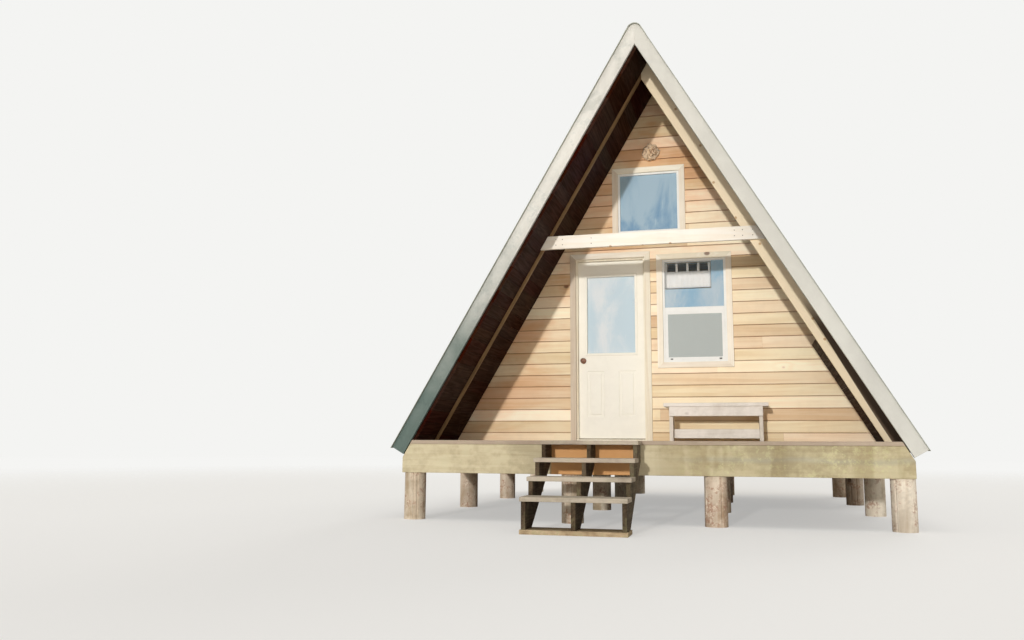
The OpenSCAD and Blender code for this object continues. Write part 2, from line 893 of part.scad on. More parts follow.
module bench_legs() {
    color("silver") for (x = [bench_x + bench_leg_inset, bench_x + bench_len - bench_leg_inset - bench_leg_t])
        box(x, bench_front + 40, deck_h, bench_leg_t, bench_d - 60, bench_h - bench_t);
}

module bench_rails() {
    in_l = bench_x + bench_leg_inset;
    color("silver") {
        box(in_l, bench_front + 12, deck_h + bench_h - bench_t - apron_h, bench_len - 2 * bench_leg_inset,
            28, apron_h);
        box(in_l + bench_leg_t, bench_front + 120, deck_h + rail_z,
            bench_len - 2 * bench_leg_inset - 2 * bench_leg_t, 38, rail_h);
    }
}

stair_front = front_y - stair_len;
stair_l = stair_x - stair_w / 2;
rise = (deck_h - first_rise) / (tread_n - 1);
sill_d = 286;
sill_h = 38;
stringer_inset = 12;

module stair_treads() {
    color("silver") for (i = [0 : tread_n - 1])
        box(stair_l, stair_front + i * stair_going, first_rise + i * rise - tread_t, stair_w,
            tread_d, tread_t);
}

// Saw-tooth outline of one stringer, in Y and Z
module stringer_outline() {
    foot = stair_front + 20;
    end_y = front_y;
    steps = [for (i = [0 : tread_n - 1]) each [
        [foot + i * stair_going, first_rise + i * rise - tread_t],
        [i < tread_n - 1 ? foot + (i + 1) * stair_going : end_y, first_rise + i * rise - tread_t]]];
    heel_y = foot + sill_d - 40;
    polygon(concat([[foot, sill_h]], steps,
        [[end_y, first_rise + (tread_n - 1) * rise - tread_t - 150], [heel_y, sill_h]]));
}

module stair_stringers() {
    color("silver") for (x = [stair_l + stringer_inset, stair_x - lumber_t / 2,
        stair_l + stair_w - stringer_inset - lumber_t]) along_x(x, lumber_t) stringer_outline();
}

module stair_sill() {
    color("silver") box(stair_l, stair_front, 0, stair_w, sill_d, sill_h);
}

log_piers_front();
log_piers_inner();
log_piers_back();
front_rim();
cross_girders();
back_rim();
side_rims();
floor_joists();
porch_deck();
cabin_floor();
front_wall_left();
front_wall_right();
front_wall_gable();
back_wall();
front_siding();
back_siding();
rafters_left();
rafters_right();
ridge_board();
collar_beam();
porch_ceiling_left();
porch_ceiling_right();
loft_joists();
loft_floor();
roof_boards_left();
roof_boards_right();
roof_battens_left();
roof_battens_right();
metal_roof_left();
metal_roof_right();
ridge_cap();
front_trim_left();
front_trim_right();
back_trim_left();
back_trim_right();
door_slab();
door_glass();
door_knob();
door_hinge_leaves();
frame_hinge_leaves();
door_frame();
front_casings();
front_window_frames();
front_window_glass();
window_screen();
back_casings();
back_window_frames();
back_window_glass();
burl_knob();
bench_seat();
bench_rails();
bench_legs();
stair_treads();
stair_stringers();
stair_sill();
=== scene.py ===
"""Boards, finishes and studio for a small A-frame cabin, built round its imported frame"""

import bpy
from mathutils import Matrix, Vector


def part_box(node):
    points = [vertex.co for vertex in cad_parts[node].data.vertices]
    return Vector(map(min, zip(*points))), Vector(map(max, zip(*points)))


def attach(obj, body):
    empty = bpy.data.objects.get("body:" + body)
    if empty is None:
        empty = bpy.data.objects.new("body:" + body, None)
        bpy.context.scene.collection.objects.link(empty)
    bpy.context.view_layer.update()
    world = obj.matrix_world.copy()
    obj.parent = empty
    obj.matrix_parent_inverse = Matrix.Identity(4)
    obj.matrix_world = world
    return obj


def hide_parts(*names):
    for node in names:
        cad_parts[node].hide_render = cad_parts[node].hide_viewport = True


bl_info = {
    "name": "A-Frame Cabin",
    "version": (1, 0, 0),
    "blender": (4, 5, 0),
    "location": "View3D > Sidebar > Cabin",
    "description": "Adds the boards, finishes and studio of a small A-frame cabin to its frame",
    "category": "Object",
}

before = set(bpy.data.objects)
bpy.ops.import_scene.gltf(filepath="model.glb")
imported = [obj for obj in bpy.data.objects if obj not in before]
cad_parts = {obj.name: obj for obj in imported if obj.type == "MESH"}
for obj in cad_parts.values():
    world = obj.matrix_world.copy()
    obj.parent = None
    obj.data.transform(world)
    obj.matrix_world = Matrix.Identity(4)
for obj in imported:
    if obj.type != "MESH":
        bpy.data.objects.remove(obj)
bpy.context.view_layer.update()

import math
import random

import bmesh
import bpy
from bpy.props import FloatProperty, FloatVectorProperty, IntProperty, PointerProperty
from mathutils import Matrix, Vector, noise

X = Vector((1, 0, 0))
Y = Vector((0, 1, 0))
Z = Vector((0, 0, 1))
MERGE = 1e-5
SLACK = 1e-6
FLAT = math.radians(0.5)
HALF_JOINT = 0.0006
WHITE = (1, 1, 1)
SUNLIT_BOUNCE = (1.0, 0.87, 0.75)
GREYED = "9C968C"
MOSS = "7E8F5E"


def srgb(digits):
    """Linear colour of six hex digits"""
    parts = [int(digits[i:i + 2], 16) / 255 for i in (0, 2, 4)]
    return tuple(c / 12.92 if c <= 0.04045 else ((c + 0.055) / 1.055) ** 2.4 for c in parts)


def linear(color):
    """Linear colour from hex digits, from the name of a cabin colour, or as it is"""
    if isinstance(color, str):
        color = getattr(colours(), color, None) or srgb(color)
    return tuple(color)


def darker(color, share):
    """A colour brought down to a share of its light"""
    return tuple(c * share for c in linear(color))


def length(name, description, default, least=0.0):
    """Property that holds a length"""
    return FloatProperty(name=name, description=description, default=default, min=least, unit="LENGTH",
                         subtype="DISTANCE")


def colour(name, description, default):
    """Property that holds a colour, whose default is written in hex"""
    return FloatVectorProperty(name=name, description=description, default=srgb(default), size=3,
                               subtype="COLOR")


class CabinSizes(bpy.types.PropertyGroup):
    """Sizes of what the frame leaves plain"""
    siding_exposure: length("Siding Exposure", "Height of one siding course that shows", 0.130, 0.05)
    siding_taper: length("Siding Taper", "How far a course leans in at its top", 0.010, 0.001)
    deck_board: length("Deck Board", "Width of a deck board with its gap", 0.145, 0.05)
    roof_board: length("Roof Board", "Width of a roof board", 0.184, 0.05)
    ceiling_board: length("Ceiling Board", "Width of a porch ceiling board", 0.140, 0.05)
    lining_board: length("Lining Board", "Width of a wall lining board", 0.152, 0.05)
    arris: length("Arris", "Rounding of sawn edges", 0.002)
    seed: IntProperty(name="Seed", description="Start of the random board tones", default=7)


class CabinColours(bpy.types.PropertyGroup):
    """Main colours of the cabin"""
    cedar: colour("Cedar", "Pale wood of the siding", "FEEECE")
    cedar_dark: colour("Dark Cedar", "Dark grain of the siding", "EED4AC")
    lumber: colour("Lumber", "New sawn softwood", "FBEBC9")
    trim: colour("Trim", "Painted boards of the gables", "CBCAC2")
    stain: colour("Stain", "Red-brown boards under the roof", "3E1E12")
    roof: colour("Roof", "Painted roof sheets", "B7BAB0")
    door: colour("Door", "Painted door", "F9F5E8")


def sizes():
    return bpy.context.scene.cabin_sizes


def colours():
    return bpy.context.scene.cabin_colours


# Places in the frame

def slope_angle(node):
    """Pitch of a roof layer, from its largest face's normal"""
    normal = max(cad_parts[node].data.polygons, key=lambda p: p.area).normal
    return math.atan2(abs(normal.x), abs(normal.z))


PITCH = slope_angle("roof_boards_right")
DECK_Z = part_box("porch_deck")[1].z


def siding_start():
    """Height from which the siding courses count"""
    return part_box("front_siding")[0].z - sizes().siding_exposure * 0.25


def slope_normal(side):
    """Outward normal of the left (-1) or right (1) slope"""
    return Vector((side * math.sin(PITCH), 0, math.cos(PITCH)))


def slope_down(side):
    """Direction down the left (-1) or right (1) slope"""
    return Vector((side * math.cos(PITCH), 0, -math.sin(PITCH)))


# Shaping

def node_copy(node):
    """Closed copy of a CAD node's mesh"""
    bm = bmesh.new()
    bm.from_mesh(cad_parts[node].data)
    bmesh.ops.remove_doubles(bm, verts=bm.verts, dist=MERGE)
    return bm


def extent(faces):
    """Lowest and highest corner of some faces"""
    points = [v.co for face in faces for v in face.verts]
    return Vector(map(min, zip(*points))), Vector(map(max, zip(*points)))


def islands(bm):
    """The separate solids of a mesh, as lists of faces, from low to high"""
    left = set(bm.faces)
    found = []
    while left:
        group = [left.pop()]
        for face in group:
            for edge in face.edges:
                for other in edge.link_faces:
                    if other in left:
                        left.remove(other)
                        group.append(other)
        found.append(group)

    def place(group):
        x, y, z = (round(part, 4) for part in extent(group)[0])
        return (z, x, y, len(group))

    return sorted(found, key=place)


def island_boxes(node):
    """Lowest and highest corners of each solid of a CAD node, from low to high"""
    bm = node_copy(node)
    boxes = [extent(group) for group in islands(bm)]
    bm.free()
    return boxes


def cut_away(bm, point, normal):
    """Removes what lies past a plane and closes the cut"""
    parts = bm.verts[:] + bm.edges[:] + bm.faces[:]
    if not parts:
        return
    bmesh.ops.bisect_plane(bm, geom=parts, dist=SLACK, plane_co=point, plane_no=normal, clear_outer=True)
    rim = [e for e in bm.edges if e.is_boundary]
    if rim:
        bmesh.ops.holes_fill(bm, edges=rim)


def append(bm, other):
    """Adds another mesh's faces and frees it"""
    step = bpy.data.meshes.new("step")
    other.to_mesh(step)
    other.free()
    bm.from_mesh(step)
    bpy.data.meshes.remove(step)


def block(bm, low, high):
    """Box between two corners"""
    low, high = Vector(low), Vector(high)
    place = Matrix.Translation((low + high) / 2) @ Matrix.Diagonal((*(high - low), 1))
    return bmesh.ops.create_cube(bm, size=1, matrix=place)["verts"]


def ring(bm, low, high, bar):
    """Rectangular ring between two corners, open along Y"""
    corners = block(bm, low, high)
    ends = [f for f in bm.faces if abs(f.normal.y) > 0.9 and all(v in corners for v in f.verts)]
    bmesh.ops.inset_individual(bm, faces=ends, thickness=bar, use_even_offset=True)
    edges = [e for f in ends for e in f.edges]
    bmesh.ops.delete(bm, geom=ends, context="FACES_ONLY")
    bmesh.ops.bridge_loops(bm, edges=edges)


def heads(bm, points, normal, radius, height, segments=8):
    """Flat round heads, such as nails, standing on points"""
    turn = Z.rotation_difference(normal).to_matrix().to_4x4()
    for point in points:
        place = Matrix.Translation(Vector(point) + normal * height / 2) @ turn
        bmesh.ops.create_cone(bm, cap_ends=True, segments=segments, radius1=radius, radius2=radius * 0.8,
                              depth=height, matrix=place)


def split_boards(node, axis, pitch, gap, seed, start=None, along=None, longest=2.4):
    """A CAD node cut into boards square to axis, with butt joints along their length"""
    source = node_copy(node)
    places = [v.co.dot(axis) for v in source.verts]
    low, high = min(places), max(places)
    first = low if start is None else start
    chance = random.Random(sizes().seed * 1000 + seed)
    out = bmesh.new()
    count = math.ceil((high - first) / pitch - SLACK)
    for i in range(-1 if first > low + SLACK else 0, count):
        bottom = first + i * pitch
        board = source.copy()
        cut_away(board, axis * (bottom + gap / 2), -axis)
        cut_away(board, axis * (bottom + pitch - gap / 2), axis)
        if not board.verts:
            board.free()
            continue
        for piece in stock_lengths(board, along, longest, chance):
            append(out, piece)
    source.free()
    return out


def stock_lengths(board, along, longest, chance):
    """A board cut at random places into stock lengths"""
    if along is None:
        return [board]
    places = [v.co.dot(along) for v in board.verts]
    low, high = min(places), max(places)
    shortest = 0.5
    stops = [low]
    step = longest * chance.uniform(0.35, 1.0)
    while high - stops[-1] > step + shortest:
        stops.append(stops[-1] + step)
        step = longest * chance.uniform(0.75, 1.0)
    if len(stops) == 1:
        return [board]
    pieces = []
    for i, stop in enumerate(stops):
        piece = board.copy()
        if i > 0:
            cut_away(piece, along * (stop + HALF_JOINT), -along)
        if i < len(stops) - 1:
            cut_away(piece, along * (stops[i + 1] - HALF_JOINT), along)
        pieces.append(piece)
    board.free()
    return pieces


def give_tones(bm, seed):
    """Gives each solid its own tone, which the materials read"""
    layer = bm.faces.layers.float.new("tone")
    chance = random.Random(sizes().seed * 100 + seed)
    for group in islands(bm):
        tone = chance.random()
        for face in group:
            face[layer] = tone


def finish_piece(name, bm, look, replaces=(), seed=0, arris=None, body="cabin", smooth=False):
    """Makes a mesh a piece that rides on a body"""
    bmesh.ops.dissolve_limit(bm, angle_limit=FLAT, verts=bm.verts, edges=bm.edges)
    bmesh.ops.recalc_face_normals(bm, faces=bm.faces)
    give_tones(bm, seed)
    data = bpy.data.meshes.new(name)
    bm.to_mesh(data)
    bm.free()
    piece = bpy.data.objects.new(name, data)
    bpy.context.scene.collection.objects.link(piece)
    data.materials.append(finish(look))
    if smooth:
        data.polygons.foreach_set("use_smooth", [True] * len(data.polygons))
    if arris:
        bevel = piece.modifiers.new("Arris", "BEVEL")
        bevel.width = arris
        bevel.segments = 1
        bevel.limit_method = "ANGLE"
        bevel.angle_limit = math.radians(35)
        bevel.use_clamp_overlap = True
    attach(piece, body)
    if replaces:
        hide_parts(*replaces)
    return piece


def lay(node, suffix, look, slot, axis, pitch, gap, seed, arris=None, **cuts):
    """Boards cut from a CAD node, in its place"""
    bm = split_boards(node, axis, pitch, gap, seed, **cuts)
    finish_piece(node + suffix, bm, look, (node,), seed, arris)


def dress(slot, *rows, body="cabin"):
    """CAD nodes as pieces with rounded edges and a tone for each solid, from node, look, seed and arris"""
    for node, look, seed, *arris in rows:
        edge = arris[0] if arris else sizes().arris
        finish_piece(node + "_piece", node_copy(node), look, (node,), seed, edge, body)


def paint(look, *nodes):
    """Puts a finish on CAD nodes that stay as they are"""
    for node in nodes:
        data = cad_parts[node].data
        data.materials.clear()
        data.materials.append(finish(look))


# Material building

class Graph:
    """Short calls for a node tree, in which a colour may be written in hex or by its name"""

    def __init__(self, tree):
        self.tree = tree
        self.color = None

    def find(self, kind):
        """The tree's first node of a kind"""
        return next(n for n in self.tree.nodes if n.type == kind)

    def put(self, socket, value):
        """Links an output to a socket, or sets the socket's value"""
        if isinstance(value, bpy.types.NodeSocket):
            self.tree.links.new(value, socket)
        elif socket.type == "RGBA":
            socket.default_value = (*linear(value), 1)
        else:
            socket.default_value = value

    def add(self, kind, *values, output=0, settings=None, **inputs):
        """Adds a node, sets its inputs in order or by name and returns one output"""
        made = self.tree.nodes.new(kind)
        for key, value in (settings or {}).items():
            setattr(made, key, value)
        for socket, value in zip(made.inputs, values):
            self.put(socket, value)
        for key, value in inputs.items():
            self.put(made.inputs[key.replace("_", " ")], value)
        return made.outputs[output]

    def maths(self, operation, *values, clamp=False):
        return self.add("ShaderNodeMath", *values, settings={"operation": operation, "use_clamp": clamp})

    def times(self, first, *factors, clamp=False):
        """Product of some masks or numbers"""
        for factor in factors:
            first = self.maths("MULTIPLY", first, factor, clamp=clamp)
        return first

    def plus(self, a, b, clamp=False):
        return self.maths("ADD", a, b, clamp=clamp)

    def minus(self, a, b):
        return self.maths("SUBTRACT", a, b)

    def vector(self, operation, *values):
        """Vector maths, whose lengths and dot products come out as one number"""
        output = "Value" if operation in ("DOT_PRODUCT", "LENGTH") else "Vector"
        return self.add("ShaderNodeVectorMath", *values, output=output, settings={"operation": operation})

    def scale(self, vector, factors):
        return self.vector("MULTIPLY", vector, factors)

    def noise(self, vector, scale, detail=3.0, roughness=0.5, distortion=0.0):
        return self.add("ShaderNodeTexNoise", Vector=vector, Scale=scale, Detail=detail, Roughness=roughness,
                        Distortion=distortion)

    def weave(self, threads):
        """Waves across X and across Z, for a cloth or mesh of so many threads"""
        return [self.add("ShaderNodeTexWave", settings={"bands_direction": way}, Vector=self.place, Scale=threads)
                for way in ("X", "Z")]

    def ramp(self, value, low, high, out_low=0.0, out_high=1.0):
        """Smooth step from low to high"""
        return self.add("ShaderNodeMapRange", settings={"interpolation_type": "SMOOTHSTEP"}, Value=value,
                        From_Min=low, From_Max=high, To_Min=out_low, To_Max=out_high)

    def band(self, value, low, high, soft):
        """One between low and high, and nothing outside"""
        return self.times(self.ramp(value, low - soft, low + soft), self.ramp(value, high + soft, high - soft))

    def mix(self, factor, a, b, blend="MIX"):
        made = self.tree.nodes.new("ShaderNodeMix")
        made.data_type = "RGBA"
        made.blend_type = blend
        for socket, value in zip((made.inputs[0], made.inputs[6], made.inputs[7]), (factor, a, b)):
            self.put(socket, value)
        return made.outputs[2]

    def group(self, name, **inputs):
        """Places a group, built at its first use, and returns its outputs by name"""
        tree = bpy.data.node_groups.get(name) or GROUPS[name](name)
        return self.add("ShaderNodeGroup", settings={"node_tree": tree}, **inputs).node.outputs

    def axes(self):
        """X, Y and Z of the place, as numbers"""
        return self.add("ShaderNodeSeparateXYZ", self.place).node.outputs

    def surface(self, **inputs):
        """Sets inputs of the Principled shader"""
        for key, value in inputs.items():
            self.put(self.shader.inputs[key.replace("_", " ")], value)
        self.color = inputs.get("Base_Color", self.color)

    def tint(self, color, *masks, blend="MIX"):
        """Lays a colour over the base colour, where all masks say so"""
        self.surface(Base_Color=self.mix(self.times(*masks), self.color, color, blend))

    def darken(self, color, *masks):
        """Multiplies the base colour by a colour, where all masks say so"""
        self.tint(color, *masks, blend="MULTIPLY")

    def bump(self, height, distance, strength=0.5):
        """Bump from a height into the shader's normal"""
        self.surface(Normal=self.add("ShaderNodeBump", output="Normal", Height=height, Distance=distance,
                                     Strength=strength))


def new_group(name, ins, outs):
    """Graph of a new shader node group with named sockets"""
    tree = bpy.data.node_groups.new(name, "ShaderNodeTree")
    for label, kind, *default in ins:
        socket = tree.interface.new_socket(label, in_out="INPUT", socket_type="NodeSocket" + kind)
        if default:
            socket.default_value = (*linear(default[0]), 1) if kind == "Color" else default[0]
    for label, kind in outs:
        tree.interface.new_socket(label, in_out="OUTPUT", socket_type="NodeSocket" + kind)
    g = Graph(tree)
    g.ins = tree.nodes.new("NodeGroupInput").outputs
    g.outs = tree.nodes.new("NodeGroupOutput").inputs
    return g


def grain_group(name):
    """Sawn wood along X: growth bands, fine grain, knots, and a tone for each board"""
    g = new_group(name, (("Vector", "Vector"), ("Tone", "Float", 0.5), ("Light", "Color", "E7CBAA"),
                         ("Dark", "Color", "BC956C"), ("Knots", "Float", 0.3), ("Bands", "Float", 9.0),
                         ("Spread", "Float", 0.25)), (("Color", "Color"), ("Height", "Float")))
    tone, spread = g.ins["Tone"], g.ins["Spread"]
    shift = g.add("ShaderNodeVectorMath", (31.0, 17.0, 23.0), settings={"operation": "SCALE"}, Scale=tone)
    place = g.vector("ADD", g.ins["Vector"], shift)
    cells = g.add("ShaderNodeTexVoronoi", Vector=g.scale(place, (0.7, 1.0, 1.0)), Scale=3.2).node.outputs
    chosen = g.maths("LESS_THAN", g.add("ShaderNodeSeparateColor", cells["Color"]), g.ins["Knots"])
    knot = g.times(g.ramp(cells["Distance"], 0.10, 0.05), chosen)
    pull = g.times(g.ramp(cells["Distance"], 0.35, 0.02), chosen)
    broad = g.noise(g.scale(place, (0.55, 9.0, 9.0)), 1.0, distortion=0.5)
    swayed = g.maths("MULTIPLY_ADD", pull, 0.25, broad)
    waves = g.maths("SINE", g.times(swayed, g.times(g.ins["Bands"], math.tau)))
    bands = g.maths("MULTIPLY_ADD", waves, 0.5, 0.5)
    fine = g.noise(g.scale(place, (2.5, 70.0, 70.0)), 1.0, 4.0, 0.6)
    part = g.plus(g.times(bands, 0.32), g.times(fine, 0.45))
    amount = g.plus(part, g.times(g.ramp(broad, 0.3, 0.7), 0.28), clamp=True)
    wood_color = g.mix(amount, g.ins["Dark"], g.ins["Light"])
    lift = g.times(g.minus(tone, 0.5), spread)
    turn = g.times(g.minus(g.maths("FRACT", g.times(tone, 7.31)), 0.5), spread)
    toned = g.add("ShaderNodeHueSaturation", Color=wood_color, Value=g.plus(lift, 1.0),
                  Hue=g.plus(g.times(turn, 0.06), g.maths("MULTIPLY_ADD", lift, 0.06, 0.5)),
                  Saturation=g.minus(1.0, g.times(lift, 1.3)))
    g.put(g.outs["Color"], g.mix(knot, toned, g.mix(0.75, toned, "6A3A1C", "MULTIPLY")))
    g.put(g.outs["Height"], g.plus(g.times(fine, 0.7), g.times(bands, 0.3)))
    return g.tree


def weather_group(name):
    """Silvering, lichen and dirt over a base colour"""
    g = new_group(name, (("Vector", "Vector"), ("Color", "Color", "BCAA95"), ("Silver", "Float", 0.3),
                         ("Silver Color", "Color", GREYED), ("Lichen", "Float", 0.0),
                         ("Lichen Color", "Color", MOSS), ("Dirt", "Float", 0.2)),
                  (("Color", "Color"), ("Mask", "Float")))
    wide = g.noise(g.ins["Vector"], 1.3, 4.0, 0.6, 0.3)
    small = g.noise(g.ins["Vector"], 9.0, 5.0, 0.65, 0.2)
    speck = g.noise(g.ins["Vector"], 42.0, 3.0, 0.7)
    both = g.plus(g.times(wide, 0.6), g.times(small, 0.4))
    edge = g.times(g.minus(1.0, g.ins["Silver"]), 0.62)
    silver = g.times(g.ramp(both, edge, g.plus(edge, 0.22)), g.times(g.ins["Silver"], 1.2, clamp=True))
    aged = g.mix(silver, g.ins["Color"], g.ins["Silver Color"])
    moss = g.times(g.ramp(small, 0.46, 0.62), g.ramp(speck, 0.38, 0.58))
    moss = g.times(moss, g.ins["Lichen"], clamp=True)
    grown = g.mix(moss, aged, g.ins["Lichen Color"])
    soil = g.times(g.ramp(both, 0.58, 0.40), g.ins["Dirt"])
    g.put(g.outs["Color"], g.mix(soil, grown, "4A4034", "MULTIPLY"))
    g.put(g.outs["Mask"], moss)
    return g.tree


GROUPS = {"Sawn Grain": grain_group, "Weathering": weather_group}

# Turns that bring a piece's grain to X
GRAIN_TURNS = {
    "x": (0, 0, 0),
    "y": (0, 0, -math.pi / 2),
    "z": (0, math.pi / 2, 0),
    "left": (0, PITCH, 0),
    "right": (0, -PITCH, 0),
}


def new_material(name):
    """Graph of a new material with a Principled shader"""
    material = bpy.data.materials.new(name)
    material.use_nodes = True
    g = Graph(material.node_tree)
    g.material = material
    g.shader = g.find("BSDF_PRINCIPLED")
    g.place = g.add("ShaderNodeTexCoord", output="Object")
    return g


# General finishes

def wood(name, grain, light, dark, knots=0.25, bands=9.0, spread=0.3, rough=0.62, relief=0.0012,
         silver=0.0, silver_color=GREYED, lichen=0.0, lichen_color=MOSS, dirt=0.15):
    """Wood with its grain along X, Y, Z or a slope, plain or weathered"""
    g = new_material(name)
    turned = g.add("ShaderNodeMapping", Vector=g.place, Rotation=GRAIN_TURNS[grain])
    tone = g.add("ShaderNodeAttribute", output="Fac", settings={"attribute_name": "tone"})
    sawn = g.group("Sawn Grain", Vector=turned, Tone=tone, Light=light, Dark=dark, Knots=knots, Bands=bands,
                   Spread=spread)
    aged = g.group("Weathering", Vector=g.place, Color=sawn["Color"], Silver=silver, Silver_Color=silver_color,
                   Lichen=lichen, Lichen_Color=lichen_color, Dirt=dirt)
    g.surface(Base_Color=aged["Color"], Roughness=g.ramp(sawn["Height"], 0.2, 0.8, rough + 0.12, rough - 0.06),
              Specular_IOR_Level=0.3)
    g.bump(g.plus(sawn["Height"], g.times(aged["Mask"], 0.6)), relief)
    return g


def painted(name, color, rough, dirt=0.15, lichen=0.0, lichen_color=MOSS, streaks=0.0, relief=0.0004, metal=0.0):
    """Paint with faint brush marks, run-off streaks and dirt"""
    g = new_material(name)
    flow = g.noise(g.scale(g.place, (9.0, 9.0, 0.7)), 1.0, 4.0, 0.55)
    streaked = g.mix(g.times(g.ramp(flow, 0.48, 0.75), streaks), color, darker(color, 0.55))
    aged = g.group("Weathering", Vector=g.place, Color=streaked, Silver=0.0, Lichen=lichen,
                   Lichen_Color=lichen_color, Dirt=dirt)
    g.surface(Base_Color=aged["Color"], Roughness=g.ramp(flow, 0.3, 0.8, rough, rough + 0.18), Metallic=metal)
    g.bump(g.noise(g.place, 260.0, 2.0), relief, 0.4)
    return g


def metal(name, color, rough, metallic=1.0):
    """Bare or plated metal with fine scratches"""
    g = new_material(name)
    wear = g.noise(g.place, 60.0, 4.0, 0.6)
    g.surface(Base_Color=g.mix(g.ramp(wear, 0.4, 0.7), color, darker(color, 0.6)),
              Roughness=g.ramp(wear, 0.3, 0.7, rough, rough + 0.2), Metallic=metallic)
    g.bump(wear, 0.0003, 0.3)
    return g


def glass(name, deep, pale, cover):
    """Window glass with a painted bluish sky reflection, hazier and paler in streaks that are partly smudges and
    partly painted glints
    """
    g = new_material(name)
    haze_and_reflection = g.noise(g.scale(g.place, (1.0, 1.0, 0.45)), 2.4, 5.0, 0.62, 0.6)
    streak = g.noise(g.scale(g.place, (30.0, 1.0, 3.0)), 1.0, 3.0, 0.6)
    # Painted sky reflection, paler in streaks of smudge and painted glint
    reflection_and_glint = g.plus(g.ramp(haze_and_reflection, 0.36, 0.64), g.ramp(streak, 0.60, 0.74, 0.0, 0.5), clamp=True)
    g.surface(Base_Color=g.mix(reflection_and_glint, deep, pale), Roughness=g.ramp(haze_and_reflection, 0.3, 0.8, 0.02, 0.10), Alpha=cover,
              Transmission_Weight=0.1, IOR=1.5, Specular_IOR_Level=0.9)
    return g


# Finishes of single pieces

def sash_glass_finish(name):
    """Sash glass, clear in front of the curtain and covered by painted sky reflection beside and below it"""
    g = glass(name, "A9D6F2", "E2F2FB", 0.5)
    low = island_boxes("front_window_frames")[0][0]
    x, _, z = g.axes()
    curtain_foot, curtain_side, soft = low.z + 0.823, low.x + 0.536, 0.005
    above = g.ramp(z, curtain_foot - soft, curtain_foot + soft)
    clear = g.times(above, g.ramp(x, curtain_side + 0.003, curtain_side - 0.003))
    # Painted sky reflection covers the pane except in front of the curtain
    g.surface(Alpha=g.ramp(clear, 0.0, 1.0, 0.6, 0.06))
    return g


def screen_finish(name):
    """Insect mesh, pale grey partly as its own colour and partly as painted sunlit sheen, that lets some light through
    """
    g = new_material(name)
    wires = g.maths("MAXIMUM", *g.weave(90.0))
    # Pale grey wires: partly the mesh's colour, partly painted sunlit sheen
    g.surface(Base_Color=g.mix(wires, "AFB6B4", "C8CFCC"), Alpha=g.ramp(wires, 0.2, 0.8, 0.55, 0.9), Roughness=0.6)
    return g


def cotton_finish(name):
    """Plain white cotton with a fine weave"""
    g = new_material(name)
    threads = g.times(*g.weave(160.0))
    g.surface(Base_Color=g.mix(threads, "F4F0EA", "FAF8F3"), Roughness=0.9, Sheen_Weight=0.2)
    g.bump(threads, 0.0003, 0.3)
    return g


def siding_finish(name):
    """Cedar siding, redder and darker towards the upper left partly as red stain and partly as painted warm shade,
    with a brown line under each lap that is partly the dark joint and partly painted shade
    """
    g = wood(name, "x", "cedar", "cedar_dark", knots=0.1, bands=4.0, dirt=0.05)
    x, _, z = g.axes()
    # Redder and darker towards the upper left: partly red stain, partly painted warm shade
    red = g.noise(g.scale(g.place, (0.8, 1.0, 1.6)), 1.2, 4.0, 0.6, 0.3)
    where = g.ramp(g.minus(z, x), DECK_Z + 1.0, DECK_Z + 3.0, 0.15, 0.8)
    g.darken("F0CBB2", g.ramp(red, 0.38, 0.62), where)
    course = g.maths("FRACT", g.maths("DIVIDE", g.minus(z, siding_start()), sizes().siding_exposure))
    lap_shade = g.maths("MAXIMUM", g.ramp(course, 0.925, 0.965), g.ramp(course, 0.03, 0.005))
    # Brown line at each lap: partly the dark joint, partly painted shade under the butt edge
    g.tint("96583A", lap_shade, 0.62)
    return g


def add_knots(g, along, across):
    """Small brown knots over a flat face"""
    near = g.add("ShaderNodeTexVoronoi", settings={"voronoi_dimensions": "2D"},
                 Vector=g.add("ShaderNodeCombineXYZ", along, across), Scale=3.6)
    g.tint("B0854E", g.ramp(near, 0.068, 0.030, 0.0, 0.7))


def rafter_finish(name):
    """Cream right rafters with knots, dark red-brown at the foot from their outer edge in"""
    g = wood(name, "right", "lumber", "F9EACA", knots=0.3, bands=6.0, spread=0.2, dirt=0.05)
    outward = slope_normal(1)
    across, along = (g.vector("DOT_PRODUCT", g.place, axis) for axis in (outward, slope_down(1)))
    add_knots(g, along, across)
    z = g.axes()["Z"]
    # Darker red-brown at the foot, from the outer edge in
    edge = max(v.co.dot(outward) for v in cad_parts["rafters_right"].data.vertices)
    foot = DECK_Z + 1.5
    reach = g.ramp(z, foot, DECK_Z, 0.045, 0.085)
    stain = g.ramp(g.minus(g.minus(edge, across), reach), 0.002, -0.002)
    g.tint("3A1C12", stain, g.ramp(z, foot, foot - 0.4), 0.9)
    return g


def collar_finish(name):
    """Pale collar beam with small knots"""
    g = wood(name, "x", "F6F2EA", "F0E2CC", knots=0.0, bands=5.0, spread=0.1, dirt=0.05)
    x, _, z = g.axes()
    add_knots(g, x, z)
    return g


def soffit_finish(name):
    """Dark stained roof boards that hardly shine"""
    g = wood(name, "y", "stain", "241009", knots=0.2, bands=8.0, spread=0.35, dirt=0.3)
    g.surface(Specular_IOR_Level=0.06)
    return g


